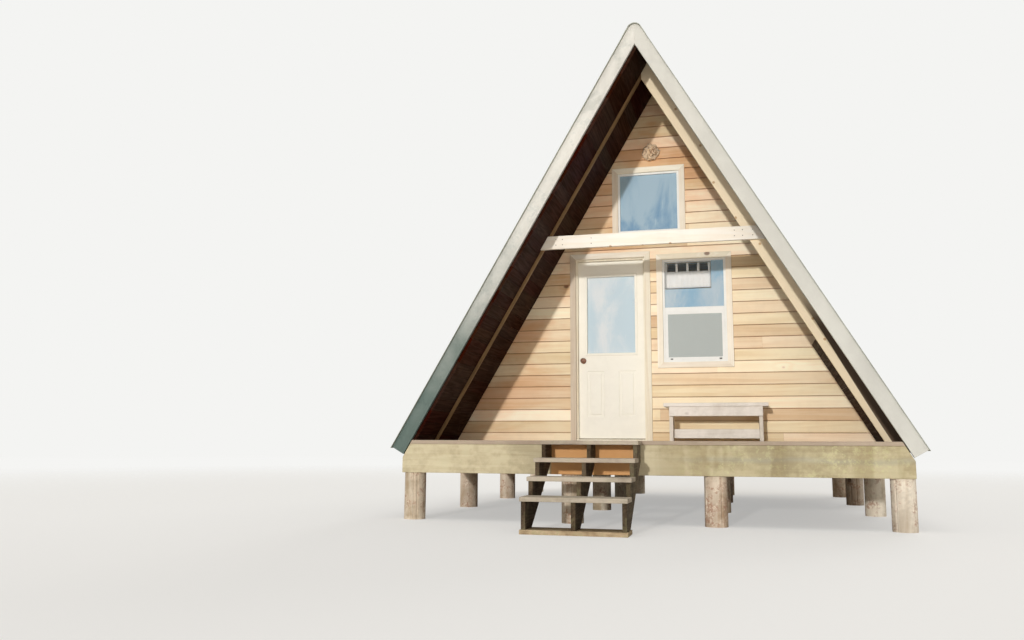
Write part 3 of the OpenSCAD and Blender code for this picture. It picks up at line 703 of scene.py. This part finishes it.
def rim_finish(name):
    """Weathered front rim: grey band, pale lichen, and clean orange wood behind the stair"""
    g = wood(name, "x", "D4C8A6", "BAAB88", knots=0.3, bands=5.0, spread=0.1, rough=0.78, relief=0.002,
             silver=0.3, silver_color="C6C0A6", lichen=0.15, lichen_color="C2BE98", dirt=0.3)
    x, _, z = g.axes()
    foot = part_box("front_rim")[0].z
    right = g.ramp(x, 0.0, 0.8)
    wander = g.noise(g.scale(g.place, (0.7, 1.0, 1.0)), 2.0, 4.0, 0.6)
    level = g.plus(z, g.times(g.minus(wander, 0.5), 0.12))
    g.tint("A9A79A", g.band(level, foot + 0.13, foot + 0.17, 0.025), g.ramp(x, 0.1, 0.7), 0.5)
    fleck = g.ramp(g.noise(g.place, 26.0, 4.0, 0.7), 0.50, 0.62)
    g.tint("D3D0A4", fleck, g.ramp(wander, 0.40, 0.58), right, 0.6)
    g.darken("EEEDE6", right, 0.8)
    wet = g.ramp(g.noise(g.scale(g.place, (4.0, 1.0, 0.4)), 1.0), 0.50, 0.62, 0.0, 0.4)
    g.darken("BDB09A", wet, g.ramp(x, -0.2, 0.4))
    brown = g.ramp(g.noise(g.place, 3.4, 5.0, 0.65), 0.56, 0.70)
    g.tint("8D7A55", brown, g.ramp(x, -0.4, 0.3), 0.35)
    stair_low, stair_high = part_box("stair_stringers")
    g.tint("E0A468", g.band(x, stair_low.x + 0.03, stair_high.x - 0.03, 0.015), 0.85)
    return g


def shaded_trim_finish(name):
    """Paint of the left gable boards with grey damp patches, darker and grey-green towards the eaves, partly as green
    film and partly as painted shade
    """
    g = painted(name, "DAD8D0", 0.5, dirt=0.1, lichen=0.3, lichen_color="98A3A0", streaks=0.2)
    z = g.axes()["Z"]
    patch_noise = g.noise(g.scale(g.place, (1.0, 1.0, 1.4)), 1.1, 5.0, 0.6, 0.4)
    level = g.plus(z, g.times(g.minus(patch_noise, 0.5), 2.2))
    # Darker grey-green towards the foot: partly green film, partly painted shade
    g.darken("728684", g.ramp(level, 3.2, 0.9))
    g.tint("A9ABA3", g.ramp(patch_noise, 0.52, 0.60), g.ramp(z, 2.4, 3.6), 0.5)
    return g


def burl_finish(name):
    """Burl with painted shade in its folds, whose depth its shape stores"""
    g = wood(name, "z", "FFF4DC", "DDB98C", knots=0.2, bands=14.0, spread=0.2, rough=0.7, relief=0.004)
    fold = g.add("ShaderNodeAttribute", output="Fac", settings={"attribute_name": "fold"})
    # Painted shade in the creases
    g.tint("5E3418", fold, 0.9)
    return g


# A wood is given by its grain, light and dark colour, share of knots, growth bands and spread of tones, a paint
# or metal by its colour and roughness, and a glass by the deep and pale blue of its painted sky reflection and how
# much that covers
CASING = ("F2EAD8", "E2D0B4", 0.25, 6.0, 0.4, dict(dirt=0.05))
UNDERFRAME = ("B9A27A", "8A7250", 0.3, 7.0, 0.3, dict(rough=0.75, silver=0.3, dirt=0.4))
BENCH = dict(rough=0.7, relief=0.0015, silver=0.5)
OUTDOORS = dict(rough=0.8, relief=0.002)
FINISHES = {
    "Cedar Siding": (siding_finish,),
    "Cedar Casing Upright": (wood, "z", *CASING),
    "Cedar Casing Level": (wood, "x", *CASING),
    # Left rafters: the same lumber as the right ones, darkened as painted shade
    "Rafter Left": (wood, "left", "A07E54", "6E5436", 0.7, 6.0, 0.2),
    "Rafter Right": (rafter_finish,),
    "Lumber Across": (wood, "x", "lumber", "CFA36C", 0.35, 6.0, 0.2),
    "Lumber Along": (wood, "y", "lumber", "C99A62", 0.3, 6.0, 0.2),
    "Collar Beam": (collar_finish,),
    "Battens": (wood, "y", "C9A877", "9A7446", 0.3, 7.0, 0.2),
    "Roof Boards": (soffit_finish,),
    "Floor Boards": (wood, "x", "C9A878", "9C7648", 0.25, 8.0, 0.3),
    "Wall Lining": (wood, "x", "DCBD8D", "B48F5C", 0.3, 8.0, 0.25),
    "Deck Boards": (wood, "x", "B8A48E", "8A745E", 0.2, 10.0, 0.3,
                    dict(rough=0.75, relief=0.002, silver=0.6, silver_color="B2A290", lichen=0.1)),
    "Front Rim": (rim_finish,),
    "Underframe Across": (wood, "x", *UNDERFRAME),
    "Underframe Along": (wood, "y", *UNDERFRAME),
    "Log Piers": (wood, "z", "F0E2CA", "B8956C", 0.6, 4.0, 0.5,
                  dict(rough=0.8, relief=0.004, silver=0.45, silver_color="E2DACA", lichen=0.65,
                       lichen_color="8E5538", dirt=0.4)),
    "Stair Treads": (wood, "x", "CDBEA8", "94846F", 0.2, 10.0, 0.35,
                     dict(OUTDOORS, silver=0.55, silver_color="C4B9A9", lichen=0.2, dirt=0.3)),
    "Stair Stringers": (wood, "y", "6A5842", "3A2E22", 0.2, 10.0, 0.3,
                        dict(OUTDOORS, silver=0.3, silver_color="7A7060", lichen=0.15, dirt=0.5)),
    "Stair Foot Plank": (wood, "x", "CDAE84", "9A7650", 0.2, 10.0, 0.3,
                         dict(OUTDOORS, silver=0.35, silver_color="B8AA94", lichen=0.3, dirt=0.5)),
    "Bench Boards": (wood, "x", "F3EADF", "D6C9BA", 0.15, 8.0, 0.2, dict(BENCH, silver_color="ECE5DC")),
    "Bench Legs": (wood, "z", "EADFCF", "C8BAA8", 0.15, 8.0, 0.2, dict(BENCH, silver_color="E2DACE")),
    "Gable Trim Paint": (painted, "trim", 0.5, dict(dirt=0.1, lichen=0.05, lichen_color="A9B0A0", streaks=0.1)),
    "Gable Trim Paint Shaded": (shaded_trim_finish,),
    "Roof Sheet Paint": (painted, "roof", 0.38,
                         dict(dirt=0.1, lichen=0.08, lichen_color="6F7F58", streaks=0.2, metal=0.15)),
    "Door Paint": (painted, "door", 0.4, dict(dirt=0.04, streaks=0.03)),
    "White Vinyl": (painted, "F3F3EF", 0.35, dict(dirt=0.05, streaks=0.05, relief=0.0002)),
    "Door Glass": (glass, "D8ECF6", "F6FBFD", 0.84),
    "Sash Glass": (sash_glass_finish,),
    "Back Sash Glass": (glass, "A9D6F2", "E2F2FB", 0.6),
    "Gable Glass": (glass, "7CAFD6", "C2DFF0", 0.66),
    "Insect Mesh": (screen_finish,),
    "Knob Bronze": (metal, "B08470", 0.2),
    "Hinge Steel": (metal, "B9BAB6", 0.35),
    "Dark Clips": (metal, "4A4A48", 0.5, dict(metallic=0.3)),
    "Nail Heads": (metal, "6E6760", 0.5, dict(metallic=0.7)),
    "Burl": (burl_finish,),
    "White Cotton": (cotton_finish,),
}
MATERIALS = {}


def finish(look):
    """Material of a finish, made once"""
    if look not in MATERIALS:
        make, *values = FINISHES[look]
        options = values.pop() if values and isinstance(values[-1], dict) else {}
        MATERIALS[look] = make(look, *values, **options).material
    return MATERIALS[look]


# Operators, one for each group of like pieces

class CABIN_OT_siding(bpy.types.Operator):
    """Laps cedar boards over both gable walls"""
    bl_idname = "cabin.siding"
    bl_label = "Lap Siding"

    def execute(self, context):
        for node, outward, seed in (("front_siding", -1, 1), ("back_siding", 1, 2)):
            self.lap(node, outward, seed)
        return {"FINISHED"}

    def lap(self, node, outward, seed):
        """Boards of one wall, each leaning in towards its top"""
        low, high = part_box(node)
        face = low.y if outward < 0 else high.y
        pitch, start = sizes().siding_exposure, siding_start()
        bm = split_boards(node, Z, pitch, gap=0.0035, seed=seed, start=start, along=X, longest=3.0)
        for group in islands(bm):
            bottom = start + math.floor((extent(group)[0].z - start) / pitch + 0.01) * pitch
            for v in {v for f in group for v in f.verts}:
                if abs(v.co.y - face) < MERGE:
                    v.co.y -= outward * sizes().siding_taper * min(1.0, (v.co.z - bottom) / pitch)
        finish_piece(node + "_laps", bm, "Cedar Siding", (node,), seed)


class CABIN_OT_casings(bpy.types.Operator):
    """Frames the doorway and windows with mitred cedar boards"""
    bl_idname = "cabin.casings"
    bl_label = "Casings"
    width: length("Width", "Width of a casing board", 0.064)

    def execute(self, context):
        # Seed 2440 was picked so the door's left casing comes out darker and more orange, as painted shade
        for node, seed in (("front_casings", 2440), ("back_casings", 4)):
            uprights, levels = bmesh.new(), bmesh.new()
            for low, high in island_boxes(node):
                self.surround(uprights, levels, low, high)
            finish_piece(node + "_uprights", uprights, "Cedar Casing Upright", (node,), seed,
                         sizes().arris)
            finish_piece(node + "_levels", levels, "Cedar Casing Level", (), seed + 10,
                         sizes().arris)
        dress("cedar_casing", ("door_frame", "Cedar Casing Upright", 5))
        return {"FINISHED"}

    def surround(self, uprights, levels, low, high):
        """Four boards mitred at their corners, or three round a doorway"""
        sides = ((-1, low.x), (1, high.x))
        closed = low.z > DECK_Z + 0.01
        ends = ((1, high.z), (-1, low.z)) if closed else ((1, high.z),)
        for side, x in sides:
            inner = x - side * self.width
            board = bmesh.new()
            block(board, (min(x, inner), low.y, low.z), (max(x, inner), high.y, high.z))
            for end, z in ends:
                cut_away(board, Vector((x - side * HALF_JOINT, 0, z)), Vector((-side, 0, end)).normalized())
            append(uprights, board)
        for end, z in ends:
            inner = z - end * self.width
            board = bmesh.new()
            block(board, (low.x, low.y, min(z, inner)), (high.x, high.y, max(z, inner)))
            for side, x in sides:
                cut_away(board, Vector((x - side * HALF_JOINT, 0, z)), Vector((side, 0, -end)).normalized())
            append(levels, board)


class CABIN_OT_framing(bpy.types.Operator):
    """Finishes rafters, ridge, collar beam and loft joists as sawn lumber"""
    bl_idname = "cabin.framing"
    bl_label = "Framing"

    def execute(self, context):
        dress("framing_lumber", ("rafters_left", "Rafter Left", 11), ("rafters_right", "Rafter Right", 12),
              ("ridge_board", "Lumber Along", 13), ("collar_beam", "Collar Beam", 14),
              ("loft_joists", "Lumber Across", 15))
        self.nails()
        return {"FINISHED"}

    def nails(self):
        """Nail heads where the collar beam crosses the rafters"""
        low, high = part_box("collar_beam")
        across = [low.x + inset for inset in (0.17, 0.24, 0.55)] + [high.x - inset for inset in (0.30, 0.22, 0.12)]
        points = [(x, low.y, low.z + share * (high.z - low.z)) for x in across for share in (0.3, 0.72)]
        bm = bmesh.new()
        heads(bm, points, -Y, radius=0.005, height=0.001)
        finish_piece("collar_nails", bm, "Nail Heads")


class CABIN_OT_roof_boards(bpy.types.Operator):
    """Lays the roof boards and porch ceiling boards"""
    bl_idname = "cabin.roof_boards"
    bl_label = "Roof Boards"

    def execute(self, context):
        for side, word in ((-1, "left"), (1, "right")):
            down = slope_down(side)
            lay("roof_boards_" + word, "_laid", "Roof Boards", "roof_boards", down, sizes().roof_board, gap=0.003,
                seed=20 + side, arris=sizes().arris, along=Y, longest=4.2)
            lay("porch_ceiling_" + word, "_laid", "Roof Boards", "roof_boards", down, sizes().ceiling_board,
                gap=0.002, seed=23 + side, arris=0.003)
            paint("Battens", "roof_battens_" + word)
        return {"FINISHED"}


class CABIN_OT_metal_roof(bpy.types.Operator):
    """Paints the sheets and ridge cap and drives their screws"""
    bl_idname = "cabin.metal_roof"
    bl_label = "Metal Roof"
    rib_height: length("Rib Height", "Height of a rib over the flat of the sheet", 0.020)
    beside: length("Beside", "How far a screw stands from its rib's middle", 0.045)

    def execute(self, context):
        paint("Roof Sheet Paint", "metal_roof_left", "metal_roof_right", "ridge_cap")
        bm = bmesh.new()
        for side, word in ((-1, "left"), (1, "right")):
            self.screws(bm, slope_normal(side), word)
        finish_piece("roof_screws", bm, "Roof Sheet Paint", seed=27)
        return {"FINISHED"}

    def screws(self, bm, normal, word):
        """Screw heads beside each rib, over each batten"""
        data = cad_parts["metal_roof_" + word].data
        crest = max(v.co.dot(normal) for v in data.vertices)
        edges = sorted({round(v.co.y, 4) for v in data.vertices if crest - v.co.dot(normal) < 1e-4})
        ribs = [(a + b) / 2 for a, b in zip(edges[::2], edges[1::2])]
        for low, high in island_boxes("roof_battens_" + word)[:-1]:
            middle = (low + high) / 2
            middle += normal * (crest - self.rib_height - middle.dot(normal))
            places = [(middle.x, rib + self.beside, middle.z) for rib in ribs]
            heads(bm, places, normal, radius=0.007, height=0.005, segments=6)


class CABIN_OT_trim(bpy.types.Operator):
    """Paints the boards along the gables"""
    bl_idname = "cabin.trim"
    bl_label = "Gable Trim"

    def execute(self, context):
        for i, end in enumerate(("front", "back")):
            dress("trim_metal", (end + "_trim_left", "Gable Trim Paint Shaded", 30 + 2 * i),
                  (end + "_trim_right", "Gable Trim Paint", 31 + 2 * i))
        return {"FINISHED"}


class CABIN_OT_platform(bpy.types.Operator):
    """Lays the deck and floor boards on the weathered underframe"""
    bl_idname = "cabin.platform"
    bl_label = "Platform"

    def execute(self, context):
        floor_board = 0.14
        lay("porch_deck", "_boards", "Deck Boards", "deck_boards", Y, sizes().deck_board, gap=0.005, seed=40,
            arris=0.003)
        lay("cabin_floor", "_boards", "Floor Boards", "floor_boards", Y, floor_board, gap=0.001, seed=41, along=X,
            longest=3.6)
        lay("loft_floor", "_boards", "Floor Boards", "floor_boards", X, floor_board, gap=0.001, seed=42, along=Y)
        dress("weathered_rim", ("front_rim", "Front Rim", 43, 0.004))
        dress("framing_lumber", ("back_rim", "Underframe Across", 44), ("side_rims", "Underframe Along", 45),
              ("cross_girders", "Underframe Across", 46), ("floor_joists", "Underframe Along", 47))
        return {"FINISHED"}


class CABIN_OT_piers(bpy.types.Operator):
    """Turns the piers into peeled logs with drying checks"""
    bl_idname = "cabin.piers"
    bl_label = "Log Piers"

    inside = 0.035
    waviness = 0.035
    check_depth = 0.10
    check_width = 0.06

    def execute(self, context):
        for i, node in enumerate(("log_piers_front", "log_piers_inner", "log_piers_back")):
            bm = bmesh.new()
            for k, (low, high) in enumerate(island_boxes(node)):
                append(bm, self.log(low, high, 10 * i + k))
            finish_piece(node + "_logs", bm, "Log Piers", (node,), seed=187 + i)
        return {"FINISHED"}

    def log(self, low, high, number):
        """Peeled log that stands inside its CAD cylinder"""
        radius = (high.x - low.x) / 2
        centre = (low + high) / 2
        bm = bmesh.new()
        bmesh.ops.create_cone(bm, cap_ends=True, segments=56, radius1=radius, radius2=radius,
                              depth=high.z - low.z, matrix=Matrix.Translation(centre))
        sides = [e for e in bm.edges if abs(e.verts[0].co.z - e.verts[1].co.z) > 0.01]
        bmesh.ops.subdivide_edges(bm, edges=sides, cuts=9)
        chance = random.Random(number)
        checks = [(chance.uniform(0, math.tau), chance.uniform(0.5, 1.0)) for _ in range(5)]
        for v in bm.verts:
            arm = Vector((v.co.x - centre.x, v.co.y - centre.y, 0))
            angle = math.atan2(arm.y, arm.x)
            wave = noise.noise(Vector((math.cos(angle), math.sin(angle), v.co.z * 1.5 + number * 7.0)))
            shrink = self.inside + self.waviness * wave
            for at, depth in checks:
                gap = abs((angle - at + math.pi) % math.tau - math.pi)
                shrink += self.check_depth * depth * max(0.0, 1 - gap / self.check_width)
            v.co -= arm * shrink
        return bm


class CABIN_OT_walls(bpy.types.Operator):
    """Lines the walls with level boards"""
    bl_idname = "cabin.walls"
    bl_label = "Wall Lining"

    def execute(self, context):
        for i, node in enumerate(("front_wall_left", "front_wall_right", "front_wall_gable", "back_wall")):
            lay(node, "_lining", "Wall Lining", "wall_lining", Z, sizes().lining_board, gap=0.0016, seed=60 + i,
                start=DECK_Z)
        return {"FINISHED"}


class CABIN_OT_door(bpy.types.Operator):
    """Paints the door and fits its glass, knob and hinges"""
    bl_idname = "cabin.door"
    bl_label = "Door"

    def execute(self, context):
        dress("door_paint", ("door_slab", "Door Paint", 70, 0.003), body="door")
        paint("Door Glass", "door_glass")
        paint("Knob Bronze", "door_knob")
        paint("Hinge Steel", "door_hinge_leaves", "frame_hinge_leaves")
        return {"FINISHED"}


class CABIN_OT_windows(bpy.types.Operator):
    """Builds the white windows, their glass, the screen and the small curtain"""
    bl_idname = "cabin.windows"
    bl_label = "Windows"
    bar: length("Frame Bar", "Width of a window's fixed frame", 0.024)
    sash_bar: length("Sash Bar", "Width of the lower sash's bars", 0.036)
    rail_low: length("Rail Foot", "Foot of the meeting rail over the frame's foot", 0.566)
    rail_high: length("Rail Top", "Top of the meeting rail over the frame's foot", 0.616)

    # How far behind the outer face the parts of a window begin and end
    frame_depth = (0.0, 0.084)
    lip_depth = (0.026, 0.044)
    rail_depth = (0.008, 0.050)
    sash_depth = (0.052, 0.078)
    pane_depth = (0.020, 0.024)
    low_pane_depth = (0.063, 0.067)

    # Width of the lip round a pane, and how far the sash laps over the rail and over its own pane
    lip = 0.007
    cover = 0.03

    def execute(self, context):
        for i, (end, sash_glass) in enumerate((("front", "Sash Glass"), ("back", "Back Sash Glass"))):
            frames, sash_panes, gable_panes = bmesh.new(), bmesh.new(), bmesh.new()
            hung, gable = island_boxes(end + "_window_frames")
            self.single_hung(frames, sash_panes, hung, end)
            self.fixed(frames, gable_panes, gable, end, self.bar, self.bar)
            finish_piece(end + "_window_vinyl", frames, "White Vinyl", (end + "_window_frames",),
                         80 + i, arris=0.002)
            finish_piece(end + "_sash_panes", sash_panes, sash_glass, (end + "_window_glass",),
                         82 + i)
            finish_piece(end + "_gable_pane", gable_panes, "Gable Glass", (), 84 + i)
        self.screen()
        self.curtain()
        return {"FINISHED"}

    def part(self, make, bm, box, end, inset, heights, depths, *extra):
        """Block or ring in a window, by its inset from the sides and its depth behind the outer face"""
        low, high = box
        near, far = depths
        across = (low.y + near, low.y + far) if end == "front" else (high.y - far, high.y - near)
        make(bm, (low.x + inset, across[0], heights[0]), (high.x - inset, across[1], heights[1]), *extra)

    def fixed(self, frames, panes, box, end, lip_foot, pane_foot):
        """Frame with a fixed pane, whose lip and glass begin at given heights"""
        foot, top, bar = box[0].z, box[1].z, self.bar
        self.part(ring, frames, box, end, 0, (foot, top), self.frame_depth, bar)
        self.part(ring, frames, box, end, bar, (foot + lip_foot, top - bar), self.lip_depth, self.lip)
        self.part(block, panes, box, end, bar, (foot + pane_foot, top - bar), self.pane_depth)

    def single_hung(self, frames, panes, box, end):
        """Fixed pane over a lower sash, in one frame"""
        foot, bar, cover = box[0].z, self.bar, self.cover
        rail_foot, rail_top = foot + self.rail_low, foot + self.rail_high
        self.fixed(frames, panes, box, end, self.rail_low + 0.004, self.rail_high)
        self.part(block, frames, box, end, bar, (rail_foot, rail_top), self.rail_depth)
        self.part(ring, frames, box, end, bar, (foot + bar, rail_foot + cover), self.sash_depth, self.sash_bar)
        self.part(block, panes, box, end, bar + cover, (foot + bar + cover, rail_foot), self.low_pane_depth)

    def screen(self):
        """Insect screen in its white frame, with two dark clips on the lower bar"""
        bar, wider, taller = 0.030, 0.0115, 0.006
        low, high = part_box("window_screen")
        low, high = low - Vector((wider, 0, wider)), high + Vector((wider, 0, taller))
        bm = bmesh.new()
        ring(bm, low, high, bar)
        finish_piece("window_screen_frame", bm, "White Vinyl", ("window_screen",), 86, arris=0.0015)
        bm = bmesh.new()
        inset = bar - 0.004
        middle, half = (low.y + high.y) / 2, 0.0008
        block(bm, (low.x + inset, middle - half, low.z + inset), (high.x - inset, middle + half, high.z - inset))
        finish_piece("window_screen_mesh", bm, "Insect Mesh", (), 87)
        bm = bmesh.new()
        clip_half, clip_depth, clip_foot, clip_top = 0.014, 0.004, 0.004, 0.016
        for share in (0.1, 0.92):
            x = low.x + share * (high.x - low.x)
            block(bm, (x - clip_half, low.y - clip_depth, low.z + clip_foot), (x + clip_half, low.y, low.z + clip_top))
        finish_piece("window_screen_clips", bm, "Dark Clips", (), 88, arris=0.0015)

    def curtain(self):
        """Short white curtain on five tabs, on a rod across the upper part of the window"""
        low, high = island_boxes("front_window_frames")[0]
        rod = Vector(((low.x + high.x) / 2, high.y + 0.010, high.z - 0.036))
        rod_r = 0.005
        first, step, tab, loop = low.x + 0.036, 0.120, 0.026, 0.195
        left, right, top, foot = low.x + 0.010, low.x + 0.530, rod.z - 0.088, rod.z - 0.278
        bm = bmesh.new()
        bmesh.ops.create_cone(bm, cap_ends=True, segments=12, radius1=rod_r, radius2=rod_r,
                              depth=high.x - low.x - 0.002,
                              matrix=Matrix.Translation(rod) @ Matrix.Rotation(math.pi / 2, 4, "Y"))
        finish_piece("curtain_rod", bm, "Hinge Steel", (), 89)
        bm = bmesh.new()
        wide, tall = right - left, top - foot
        middle = Vector(((left + right) / 2, rod.y, (top + foot) / 2))
        bmesh.ops.create_grid(bm, x_segments=52, y_segments=10, size=0.5, matrix=Matrix.Translation(middle)
                              @ Matrix.Diagonal((wide, 1, tall, 1)) @ Matrix.Rotation(math.pi / 2, 4, "X"))
        for v in bm.verts:
            wave = 0.003 * (0.4 + 0.6 * (top - v.co.z) / tall)
            v.co.y += wave * math.sin(2 * math.tau * (v.co.x - first) / step)
        for i in range(5):
            self.tab(bm, first + i * step, tab, top, rod, rod_r + 0.0015)
        cloth = finish_piece("window_curtain", bm, "White Cotton", (), 90, smooth=True)
        thick = cloth.modifiers.new("Cloth", "SOLIDIFY")
        thick.thickness = 0.0008
        thick.offset = 0

    def tab(self, bm, x, width, top, rod, radius):
        """Loop of cloth from the panel's top over the rod and back"""
        near, far = rod.y - radius, rod.y + radius
        path = [(near, top - 0.004), (near, rod.z)]
        path += [(rod.y - radius * math.cos(a), rod.z + radius * math.sin(a))
                 for a in (math.pi / 4, math.pi / 2, 3 * math.pi / 4)]
        path += [(far, rod.z), (far, top + 0.002)]
        edge = bm.edges.new([bm.verts.new((x + side * width / 2, *path[0])) for side in (-1, 1)])
        for y, z in path[1:]:
            made = bmesh.ops.extrude_edge_only(bm, edges=[edge])["geom"]
            edge = next(part for part in made if isinstance(part, bmesh.types.BMEdge))
            for v in edge.verts:
                v.co = (v.co.x, y, z)


class CABIN_OT_burl(bpy.types.Operator):
    """Shapes the gnarled burl over the gable window"""
    bl_idname = "cabin.burl"
    bl_label = "Burl"

    def execute(self, context):
        low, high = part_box("burl_knob")
        middle = Vector(((low.x + high.x) / 2, high.y, (low.z + high.z) / 2))
        half = (high.x - low.x) / 2 * 0.93
        depth = (high.y - low.y) * 0.9
        bm = bmesh.new()
        bmesh.ops.create_icosphere(bm, subdivisions=5, radius=1.0)
        # Crease depth, kept for the painted shade in the burl's folds
        fold = bm.verts.layers.float.new("fold")
        for v in bm.verts:
            lumps = noise.noise(v.co * 2.1) * 0.20 + noise.noise(v.co * 5.5) * 0.10
            crease = max(0.0, 1 - abs(noise.noise(v.co * 2.6 + Vector((3.0, 1.0, 2.0)))) / 0.15)
            v[fold] = crease
            grown = v.co * (0.94 + lumps - 0.24 * crease)
            v.co = middle + Vector((grown.x * half, grown.y * depth, grown.z * half))
        cut_away(bm, middle, Y)
        finish_piece("burl_shaped", bm, "Burl", ("burl_knob",), smooth=True)
        return {"FINISHED"}


class CABIN_OT_bench(bpy.types.Operator):
    """Finishes the porch bench as old painted boards"""
    bl_idname = "cabin.bench"
    bl_label = "Bench"

    def execute(self, context):
        dress("grey_paint", ("bench_seat", "Bench Boards", 90, 0.003), ("bench_rails", "Bench Boards", 91),
              ("bench_legs", "Bench Legs", 92))
        return {"FINISHED"}


class CABIN_OT_stair(bpy.types.Operator):
    """Finishes the open stair as weathered boards"""
    bl_idname = "cabin.stair"
    bl_label = "Stair"

    def execute(self, context):
        dress("deck_boards", ("stair_treads", "Stair Treads", 95, 0.003),
              ("stair_stringers", "Stair Stringers", 96), ("stair_sill", "Stair Foot Plank", 97))
        return {"FINISHED"}


class CABIN_OT_stage(bpy.types.Operator):
    """Sets the pale floor, the soft lights and the camera"""
    bl_idname = "cabin.stage"
    bl_label = "Studio"

    # Name, direction of the light, strength, softness in degrees and colour
    lamps = (
        ("key_light", (0.13, 1.0, -0.165), 1.72, 2, WHITE),
        ("front_fill", (-0.1, 1.0, 0.22), 0.98, 45, SUNLIT_BOUNCE),
        ("top_light", (0.1, 0.35, -1.0), 0.6, 40, WHITE),
        ("back_light", (-0.3, -0.85, -0.45), 1.0, 30, WHITE),
    )

    def execute(self, context):
        self.floor()
        self.world(context.scene)
        self.lights(context.scene)
        self.camera(context.scene)
        context.scene.view_settings.view_transform = "Standard"
        return {"FINISHED"}

    def floor(self):
        """Pale disc that takes the cabin's shadow and fades out far off"""
        bm = bmesh.new()
        bmesh.ops.create_circle(bm, cap_ends=True, segments=96, radius=40.0)
        data = bpy.data.meshes.new("studio_floor")
        bm.to_mesh(data)
        bm.free()
        piece = bpy.data.objects.new("studio_floor", data)
        bpy.context.scene.collection.objects.link(piece)
        g = new_material("Studio Floor")
        faded = g.ramp(g.vector("LENGTH", g.place), 7.0, 24.0, 1.0, 0.0)
        g.surface(Base_Color="EFEDE9", Roughness=0.9, Alpha=faded)
        pale = g.add("ShaderNodeEmission", Color="F6F6F4", Strength=1.0)
        seen = g.times(g.add("ShaderNodeLightPath", output="Is Camera Ray"), 0.45)
        shown = g.add("ShaderNodeMixShader", seen, g.shader.outputs[0], pale)
        g.put(g.find("OUTPUT_MATERIAL").inputs["Surface"], shown)
        data.materials.append(g.material)

    def world(self, scene):
        """Soft warm light, seen and mirrored as a pale backdrop"""
        world = scene.world = bpy.data.worlds.new("Studio")
        world.use_nodes = True
        g = Graph(world.node_tree)
        ambient = g.find("BACKGROUND")
        g.put(ambient.inputs["Color"], "F6F0E8")
        g.put(ambient.inputs["Strength"], 0.48)
        backdrop = g.add("ShaderNodeBackground", Color="F4F4F2", Strength=1.0)
        path = g.add("ShaderNodeLightPath").node.outputs
        seen = g.maths("MAXIMUM", path["Is Camera Ray"], path["Is Glossy Ray"])
        seen = g.maths("MAXIMUM", seen, path["Is Transmission Ray"])
        shown = g.add("ShaderNodeMixShader", seen, ambient.outputs[0], backdrop)
        g.put(g.find("OUTPUT_WORLD").inputs["Surface"], shown)

    def lights(self, scene):
        """Soft suns, which glass and metal don't mirror"""
        for name, direction, strength, softness, color in self.lamps:
            data = bpy.data.lights.new(name, "SUN")
            data.energy = strength
            data.angle = math.radians(softness)
            data.color = color
            lamp = bpy.data.objects.new(name, data)
            lamp.rotation_euler = Vector(direction).to_track_quat("-Z", "Y").to_euler()
            lamp.visible_glossy = False
            lamp.visible_transmission = False
            scene.collection.objects.link(lamp)

    def camera(self, scene):
        """Camera at the photograph's place, with the photograph's frame"""
        photo_width, focal_pixels, sensor = 1024, 884.226, 36
        yaw, pitch, roll = math.radians(-14.601), math.radians(8.005), math.radians(0.271)
        ahead = Vector((math.sin(yaw) * math.cos(pitch), math.cos(yaw) * math.cos(pitch), math.sin(pitch)))
        level = Vector((math.cos(yaw), -math.sin(yaw), 0))
        up = level.cross(ahead)
        right = level * math.cos(roll) + up * math.sin(roll)
        upward = up * math.cos(roll) - level * math.sin(roll)
        data = bpy.data.cameras.new("camera")
        data.sensor_width = sensor
        data.lens = focal_pixels * sensor / photo_width
        data.clip_end = 500
        camera = bpy.data.objects.new("camera", data)
        camera.matrix_world = Matrix((right, upward, -ahead)).transposed().to_4x4()
        camera.matrix_world.translation = (0.949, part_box("front_trim_left")[0].y - 8.498, DECK_Z - 0.039)
        scene.collection.objects.link(camera)
        scene.camera = camera


OPERATORS = (
    CABIN_OT_stage,
    CABIN_OT_piers,
    CABIN_OT_platform,
    CABIN_OT_walls,
    CABIN_OT_siding,
    CABIN_OT_casings,
    CABIN_OT_framing,
    CABIN_OT_roof_boards,
    CABIN_OT_metal_roof,
    CABIN_OT_trim,
    CABIN_OT_door,
    CABIN_OT_windows,
    CABIN_OT_burl,
    CABIN_OT_bench,
    CABIN_OT_stair,
)


class CABIN_PT_panel(bpy.types.Panel):
    """Lists the cabin's sizes, colours and pieces"""
    bl_idname = "CABIN_PT_panel"
    bl_label = "A-Frame Cabin"
    bl_space_type = "VIEW_3D"
    bl_region_type = "UI"
    bl_category = "Cabin"

    def draw(self, context):
        for group in (context.scene.cabin_sizes, context.scene.cabin_colours):
            box = self.layout.box()
            for key in group.bl_rna.properties.keys():
                if key not in ("name", "rna_type"):
                    box.prop(group, key)
        for operator in OPERATORS:
            self.layout.operator(operator.bl_idname)


CLASSES = (CabinSizes, CabinColours, *OPERATORS, CABIN_PT_panel)


def register():
    for cls in CLASSES:
        bpy.utils.register_class(cls)
    bpy.types.Scene.cabin_sizes = PointerProperty(type=CabinSizes)
    bpy.types.Scene.cabin_colours = PointerProperty(type=CabinColours)


def unregister():
    del bpy.types.Scene.cabin_colours
    del bpy.types.Scene.cabin_sizes
    for cls in reversed(CLASSES):
        bpy.utils.unregister_class(cls)


def main():
    register()
    for operator in OPERATORS:
        group, name = operator.bl_idname.split(".")
        getattr(getattr(bpy.ops, group), name)()


if __name__ == "__main__":
    main()
